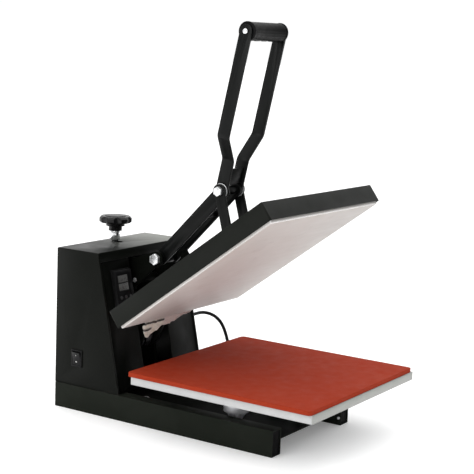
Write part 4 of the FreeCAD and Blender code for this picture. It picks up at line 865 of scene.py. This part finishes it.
def tube_mesh(name, path, radius, sides=10):
    """A round tube along a list of points."""
    points = []
    for index, point in enumerate(path):
        before, after = path[max(0, index - 1)], path[min(len(path) - 1, index + 1)]
        heading = (after - before).normalized()
        across = heading.cross(Vector((1, 0, 0)))
        if across.length < 0.05:
            across = heading.cross(Vector((0, 1, 0)))
        across.normalize()
        other = heading.cross(across)
        for side in range(sides):
            angle = 2 * math.pi * side / sides
            points.append(point + across * radius * math.cos(angle)
                          + other * radius * math.sin(angle))
    return mesh_from(name, points, ring_faces(len(path), sides))


def springs():
    """Counterbalance torsion springs round the hub tube."""
    low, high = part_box("counterbalance_springs")
    wire = 3.4 * MM
    gap, leg, turns = 2 * MM, 13 * MM, 5.5
    radius = (high.z - low.z) / 2 - wire / 2
    meshes = []
    for sign in (-1, 1):
        path = helix(radius, wire, high.x - gap, turns, leg)
        mesh = tube_mesh("spring_wire", path, wire / 2)
        flip = Matrix.Scale(sign, 4, (1, 0, 0))
        place = Matrix.Translation((gap * sign, HINGE.y, HINGE.z)) @ flip
        meshes.append((mesh, place))
    mesh = joined_mesh("torsion_springs", meshes)
    work = bmesh.new()
    work.from_mesh(mesh)
    bmesh.ops.recalc_face_normals(work, faces=work.faces)
    work.to_mesh(mesh)
    work.free()
    new_piece("torsion_springs", mesh, MATERIALS["steel"], "frame",
              ["counterbalance_springs"])


def pan_head(radius, height):
    """A domed screw head with a cross recess, standing on +Z at the origin."""
    profile = [(radius * 0.90, 0), (radius, height * 0.18), (radius * 0.97, height * 0.5),
               (radius * 0.80, height * 0.82), (radius * 0.5, height * 0.96),
               (radius * 0.02, height)]
    head = mesh_from("pan_head", turned_points(profile, 40), ring_faces(len(profile), 40))
    arm, half = radius * 0.55, radius * 0.14
    cutter = bmesh.new()
    for turn in (0, math.pi / 2):
        matrix = (Matrix.Translation((0, 0, height)) @ Matrix.Rotation(turn, 4, "Z")
                  @ Matrix.Diagonal((arm * 2, half * 2, height * 1.1, 1)))
        bmesh.ops.create_cube(cutter, size=1, matrix=matrix)
    cross = bpy.data.meshes.new("cross")
    cutter.to_mesh(cross)
    cutter.free()
    holder = bpy.data.objects.new("pan_head", head)
    tool = bpy.data.objects.new("cross", cross)
    for item in (holder, tool):
        bpy.context.scene.collection.objects.link(item)
    cut = holder.modifiers.new("recess", "BOOLEAN")
    cut.operation = "DIFFERENCE"
    cut.object = tool
    cut.use_self = True
    bpy.context.view_layer.update()
    graph = bpy.context.evaluated_depsgraph_get()
    result = bpy.data.meshes.new_from_object(holder.evaluated_get(graph))
    result.shade_smooth()
    result.set_sharp_from_angle(angle=math.radians(40))
    for item in (holder, tool):
        bpy.data.objects.remove(item)
    return result


def islands(node):
    """Middle, lowest and highest corner of each separate solid of a node."""
    work = bmesh.new()
    work.from_mesh(NODES[node].data)
    bmesh.ops.remove_doubles(work, verts=work.verts, dist=SAME_POINT)
    left = set(work.verts)
    found = []
    while left:
        group, queue = set(), [left.pop()]
        while queue:
            vertex = queue.pop()
            group.add(vertex)
            for edge in vertex.link_edges:
                other = edge.other_vert(vertex)
                if other in left:
                    left.discard(other)
                    queue.append(other)
        low = Vector([min(vertex.co[axis] for vertex in group) for axis in range(3)])
        high = Vector([max(vertex.co[axis] for vertex in group) for axis in range(3)])
        found.append(((low + high) / 2, low, high))
    work.free()
    # A set's order changes from run to run, so the solids are put in order of place.
    return sorted(found, key=lambda solid: tuple(solid[0]))


def screw_heads(node, name, radius, height, body, facing):
    """Pan heads for a node's screws that face outwards, to the middle or to the rear."""
    head = pan_head(radius, height)
    placed = []
    for middle, low, high in islands(node):
        if facing == "rear":
            spot, way = (middle.x, low.y, middle.z), (0, 1, 0)
        else:
            side = math.copysign(1, middle.x) * (1 if facing == "outwards" else -1)
            face = (high.x if side > 0 else low.x) - side * height
            spot, way = (face, middle.y, middle.z), (side, 0, 0)
        turn = Matrix.Rotation(random.uniform(0, 1.5), 4, "Z")
        placed.append((head, aimed(spot, way) @ turn))
    new_piece(name, joined_mesh(name, placed), MATERIALS["zinc"], body,
              [node])


springs()
screw_heads("cap_screws", "cap_screw_heads", 3 * MM, 1.2 * MM, "frame", "middle")
screw_heads("grip_screws", "grip_screw_heads", 5 * MM, 3.5 * MM, "lever", "outwards")
screw_heads("housing_screws", "rear_screw_heads", 4 * MM, 1.5 * MM, "frame", "rear")


# ---------------------------------------------------------------- rocker marks

def rocker_marks():
    """A printed dot and a bar on the rocker, for off and on."""
    ink = Paint("rocker_ink", (0.62, 0.62, 0.60), 0.5)
    ink.tint(ink.ramp(ink.noise(0.0006, 2), 0.4, 0.7, 0, 0.6), (0.42, 0.42, 0.41))
    pivot = JOINTS["power_rock"]["pos_m"]
    tilt = math.radians(-8)
    # Half the rocker's height, and how far its middle and then its ends stand out.
    half, proud, rise = 12.4 * MM, 1.8 * MM, 1.8 * MM
    height = 7.2 * MM
    thick, dot, bar_width, bar_length = 0.08 * MM, 2 * MM, 0.9 * MM, 4 * MM
    rest = Matrix.Translation(pivot) @ Matrix.Rotation(tilt, 4, "Y")
    flare = math.atan2(rise, half)
    out = proud + rise * height / half
    work = bmesh.new()
    for side, shape in ((-1, "dot"), (1, "bar")):
        face = (rest @ Matrix.Translation((-out, 0, side * height))
                @ Matrix.Rotation(side * flare, 4, "Y"))
        if shape == "dot":
            turn = Matrix.Rotation(math.pi / 2, 4, "Y")
            bmesh.ops.create_cone(work, cap_ends=True, segments=24, radius1=dot,
                                  radius2=dot, depth=thick, matrix=face @ turn)
        else:
            size = Matrix.Diagonal((thick, bar_width, bar_length, 1))
            bmesh.ops.create_cube(work, size=1, matrix=face @ size)
    mesh = bpy.data.meshes.new("rocker_marks")
    work.to_mesh(mesh)
    work.free()
    new_piece("rocker_marks", mesh, ink.material, "rocker")


rocker_marks()


# ---------------------------------------------------------------- plug and cord gland

def power_plug():
    """Moulded plug: waisted body with finger ribs and a tapered tail."""
    low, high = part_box("power_plug")
    middle_x, middle_z = (low.x + high.x) / 2, (low.z + high.z) / 2
    tail, shoulder = 12 * MM, 1.5 * MM
    half_width, half_thick = 13 * MM, 12 * MM
    neck = 7.5 * MM
    front, back = low.y, high.y - tail
    # Places along the plug, with the half width and half thickness there.
    profile = []
    steps = 14
    for step in range(steps + 1):
        share = step / steps
        waist = 0.16 * math.sin(math.pi * share) ** 2
        rib = 0.02 * math.sin(share * math.pi * 10) * (0.2 < share < 0.85)
        size = (1 - waist + rib) * (0.94 if step in (0, steps) else 1)
        profile.append((front + (back - front) * share, half_width * size,
                        half_thick * size))
    profile.append((back + shoulder, neck, neck))
    for step in range(1, 7):
        share = step / 6
        radius = (6.6 - 2.6 * share + (0.4 if step % 2 else 0)) * MM
        profile.append((back + shoulder + (tail - shoulder) * share, radius, radius))
    count = 32
    points = []
    for y, half_x, half_z in profile:
        square = 0.45 if half_x > neck else 1.0
        for index in range(count):
            angle = 2 * math.pi * index / count
            cos, sin = math.cos(angle), math.sin(angle)
            x = middle_x + half_x * math.copysign(abs(cos) ** square, cos)
            z = middle_z + half_z * math.copysign(abs(sin) ** square, sin)
            points.append(Vector((x, y, z)))
    faces = [tuple(reversed(face)) for face in ring_faces(len(profile), count)]
    mesh = mesh_from("moulded_plug", points, faces)
    return new_piece("moulded_plug", mesh, MATERIALS["rubber"], "frame",
                     ["power_plug"])


def strain_relief():
    """Tapered, ribbed sleeve where the lead leaves the housing."""
    low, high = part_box("cord_gland")
    wall = 137 * MM
    hole, flange = 8 * MM, 11 * MM
    middle_y, middle_z = (low.y + high.y) / 2, (low.z + high.z) / 2
    profile = [(hole, low.x), (hole, wall), (flange, wall), (flange, wall + 3 * MM),
               (9.5 * MM, wall + 4 * MM)]
    ribs = 6
    start, end = wall + 5 * MM, high.x
    for rib in range(ribs):
        share = rib / ribs
        radius = (8.4 - 3.6 * share) * MM
        x = start + (end - start) * share
        step = (end - start) / ribs
        profile += [(radius, x), (radius, x + step * 0.55), (radius * 0.86, x + step * 0.62),
                    (radius * 0.86, x + step * 0.95)]
    profile.append((4.2 * MM, end))
    mesh = mesh_from("strain_relief", turned_points(profile, 36),
                     ring_faces(len(profile), 36))
    mesh.set_sharp_from_angle(angle=math.radians(40))
    turn = Matrix.Translation((0, middle_y, middle_z)) @ Matrix.Rotation(
        math.pi / 2, 4, "Y")
    mesh.transform(turn)
    new_piece("strain_relief", mesh, MATERIALS["rubber"], "frame",
              ["cord_gland"])


plug = power_plug()
strain_relief()


# ---------------------------------------------------------------- studio

def add_floor():
    """Wide white floor that glows a little, so that it has no visible edge."""
    reach, clear = 30, 0.0002
    paint = Paint("studio_floor", (0.93, 0.93, 0.93), 0.9)
    paint.tint(paint.ramp(paint.noise(0.8, 2), 0.3, 0.7, 0, 0.5), (0.95, 0.95, 0.95))
    paint.shader.inputs["Emission Color"].default_value = (1, 1, 1, 1)
    paint.shader.inputs["Emission Strength"].default_value = 0.18
    corners = [(-reach, -reach, 0), (reach, -reach, 0), (reach, reach, 0),
               (-reach, reach, 0)]
    mesh = mesh_from("studio_floor", corners, [(0, 1, 2, 3)])
    floor = bpy.data.objects.new("studio_floor", mesh)
    bpy.context.scene.collection.objects.link(floor)
    floor.location.z = -clear
    set_material(floor, paint.material)


def add_softbox(name, place, target, size, power):
    """A square of soft light at a place, aimed at a target."""
    data = bpy.data.lights.new(name, "AREA")
    data.shape = "RECTANGLE"
    data.size, data.size_y = size
    data.energy = power
    lamp = bpy.data.objects.new(name, data)
    bpy.context.scene.collection.objects.link(lamp)
    lamp.location = place
    aim = Vector(target) - Vector(place)
    lamp.rotation_euler = aim.to_track_quat("-Z", "Y").to_euler()


def add_world():
    """Even white surroundings behind the machine, dimmer in front and bright overhead."""
    world = bpy.data.worlds.new("studio")
    bpy.context.scene.world = world
    world.use_nodes = True
    tree = world.node_tree
    place = tree.nodes.new("ShaderNodeTexCoord").outputs["Generated"]

    def share_along(direction, low, high, amount):
        """Light that grows towards a direction."""
        dot = tree.nodes.new("ShaderNodeVectorMath")
        dot.operation = "DOT_PRODUCT"
        dot.inputs[1].default_value = direction
        tree.links.new(place, dot.inputs[0])
        ramp = tree.nodes.new("ShaderNodeMapRange")
        ramp.interpolation_type = "SMOOTHSTEP"
        for socket, value in zip(("From Min", "From Max", "To Min", "To Max"),
                                 (low, high, 0, amount)):
            ramp.inputs[socket].default_value = value
        tree.links.new(dot.outputs["Value"], ramp.inputs["Value"])
        return ramp.outputs["Result"]

    even_light = 0.42
    strength = None
    for part in (share_along((0.84, 0.54, 0), 0.1, 0.8, 0.6),
                 share_along((0, 0, 1), 0.25, 1.0, 1.3),
                 share_along((-0.2, -0.98, 0), 0.3, 0.95, -0.2)):
        total = tree.nodes.new("ShaderNodeMath")
        tree.links.new(part, total.inputs[0])
        if strength is None:
            total.inputs[1].default_value = even_light
        else:
            tree.links.new(strength, total.inputs[1])
        strength = total.outputs["Value"]
    tree.links.new(strength, tree.nodes["Background"].inputs["Strength"])
    tree.nodes["Background"].inputs["Color"].default_value = (1, 1, 1, 1)


add_floor()
add_world()
add_softbox("key", (-2.6, 0.6, 1.6), (0, 0, 0.25), (1.6, 1.6), 26)
bpy.context.scene.view_settings.view_transform = "Standard"
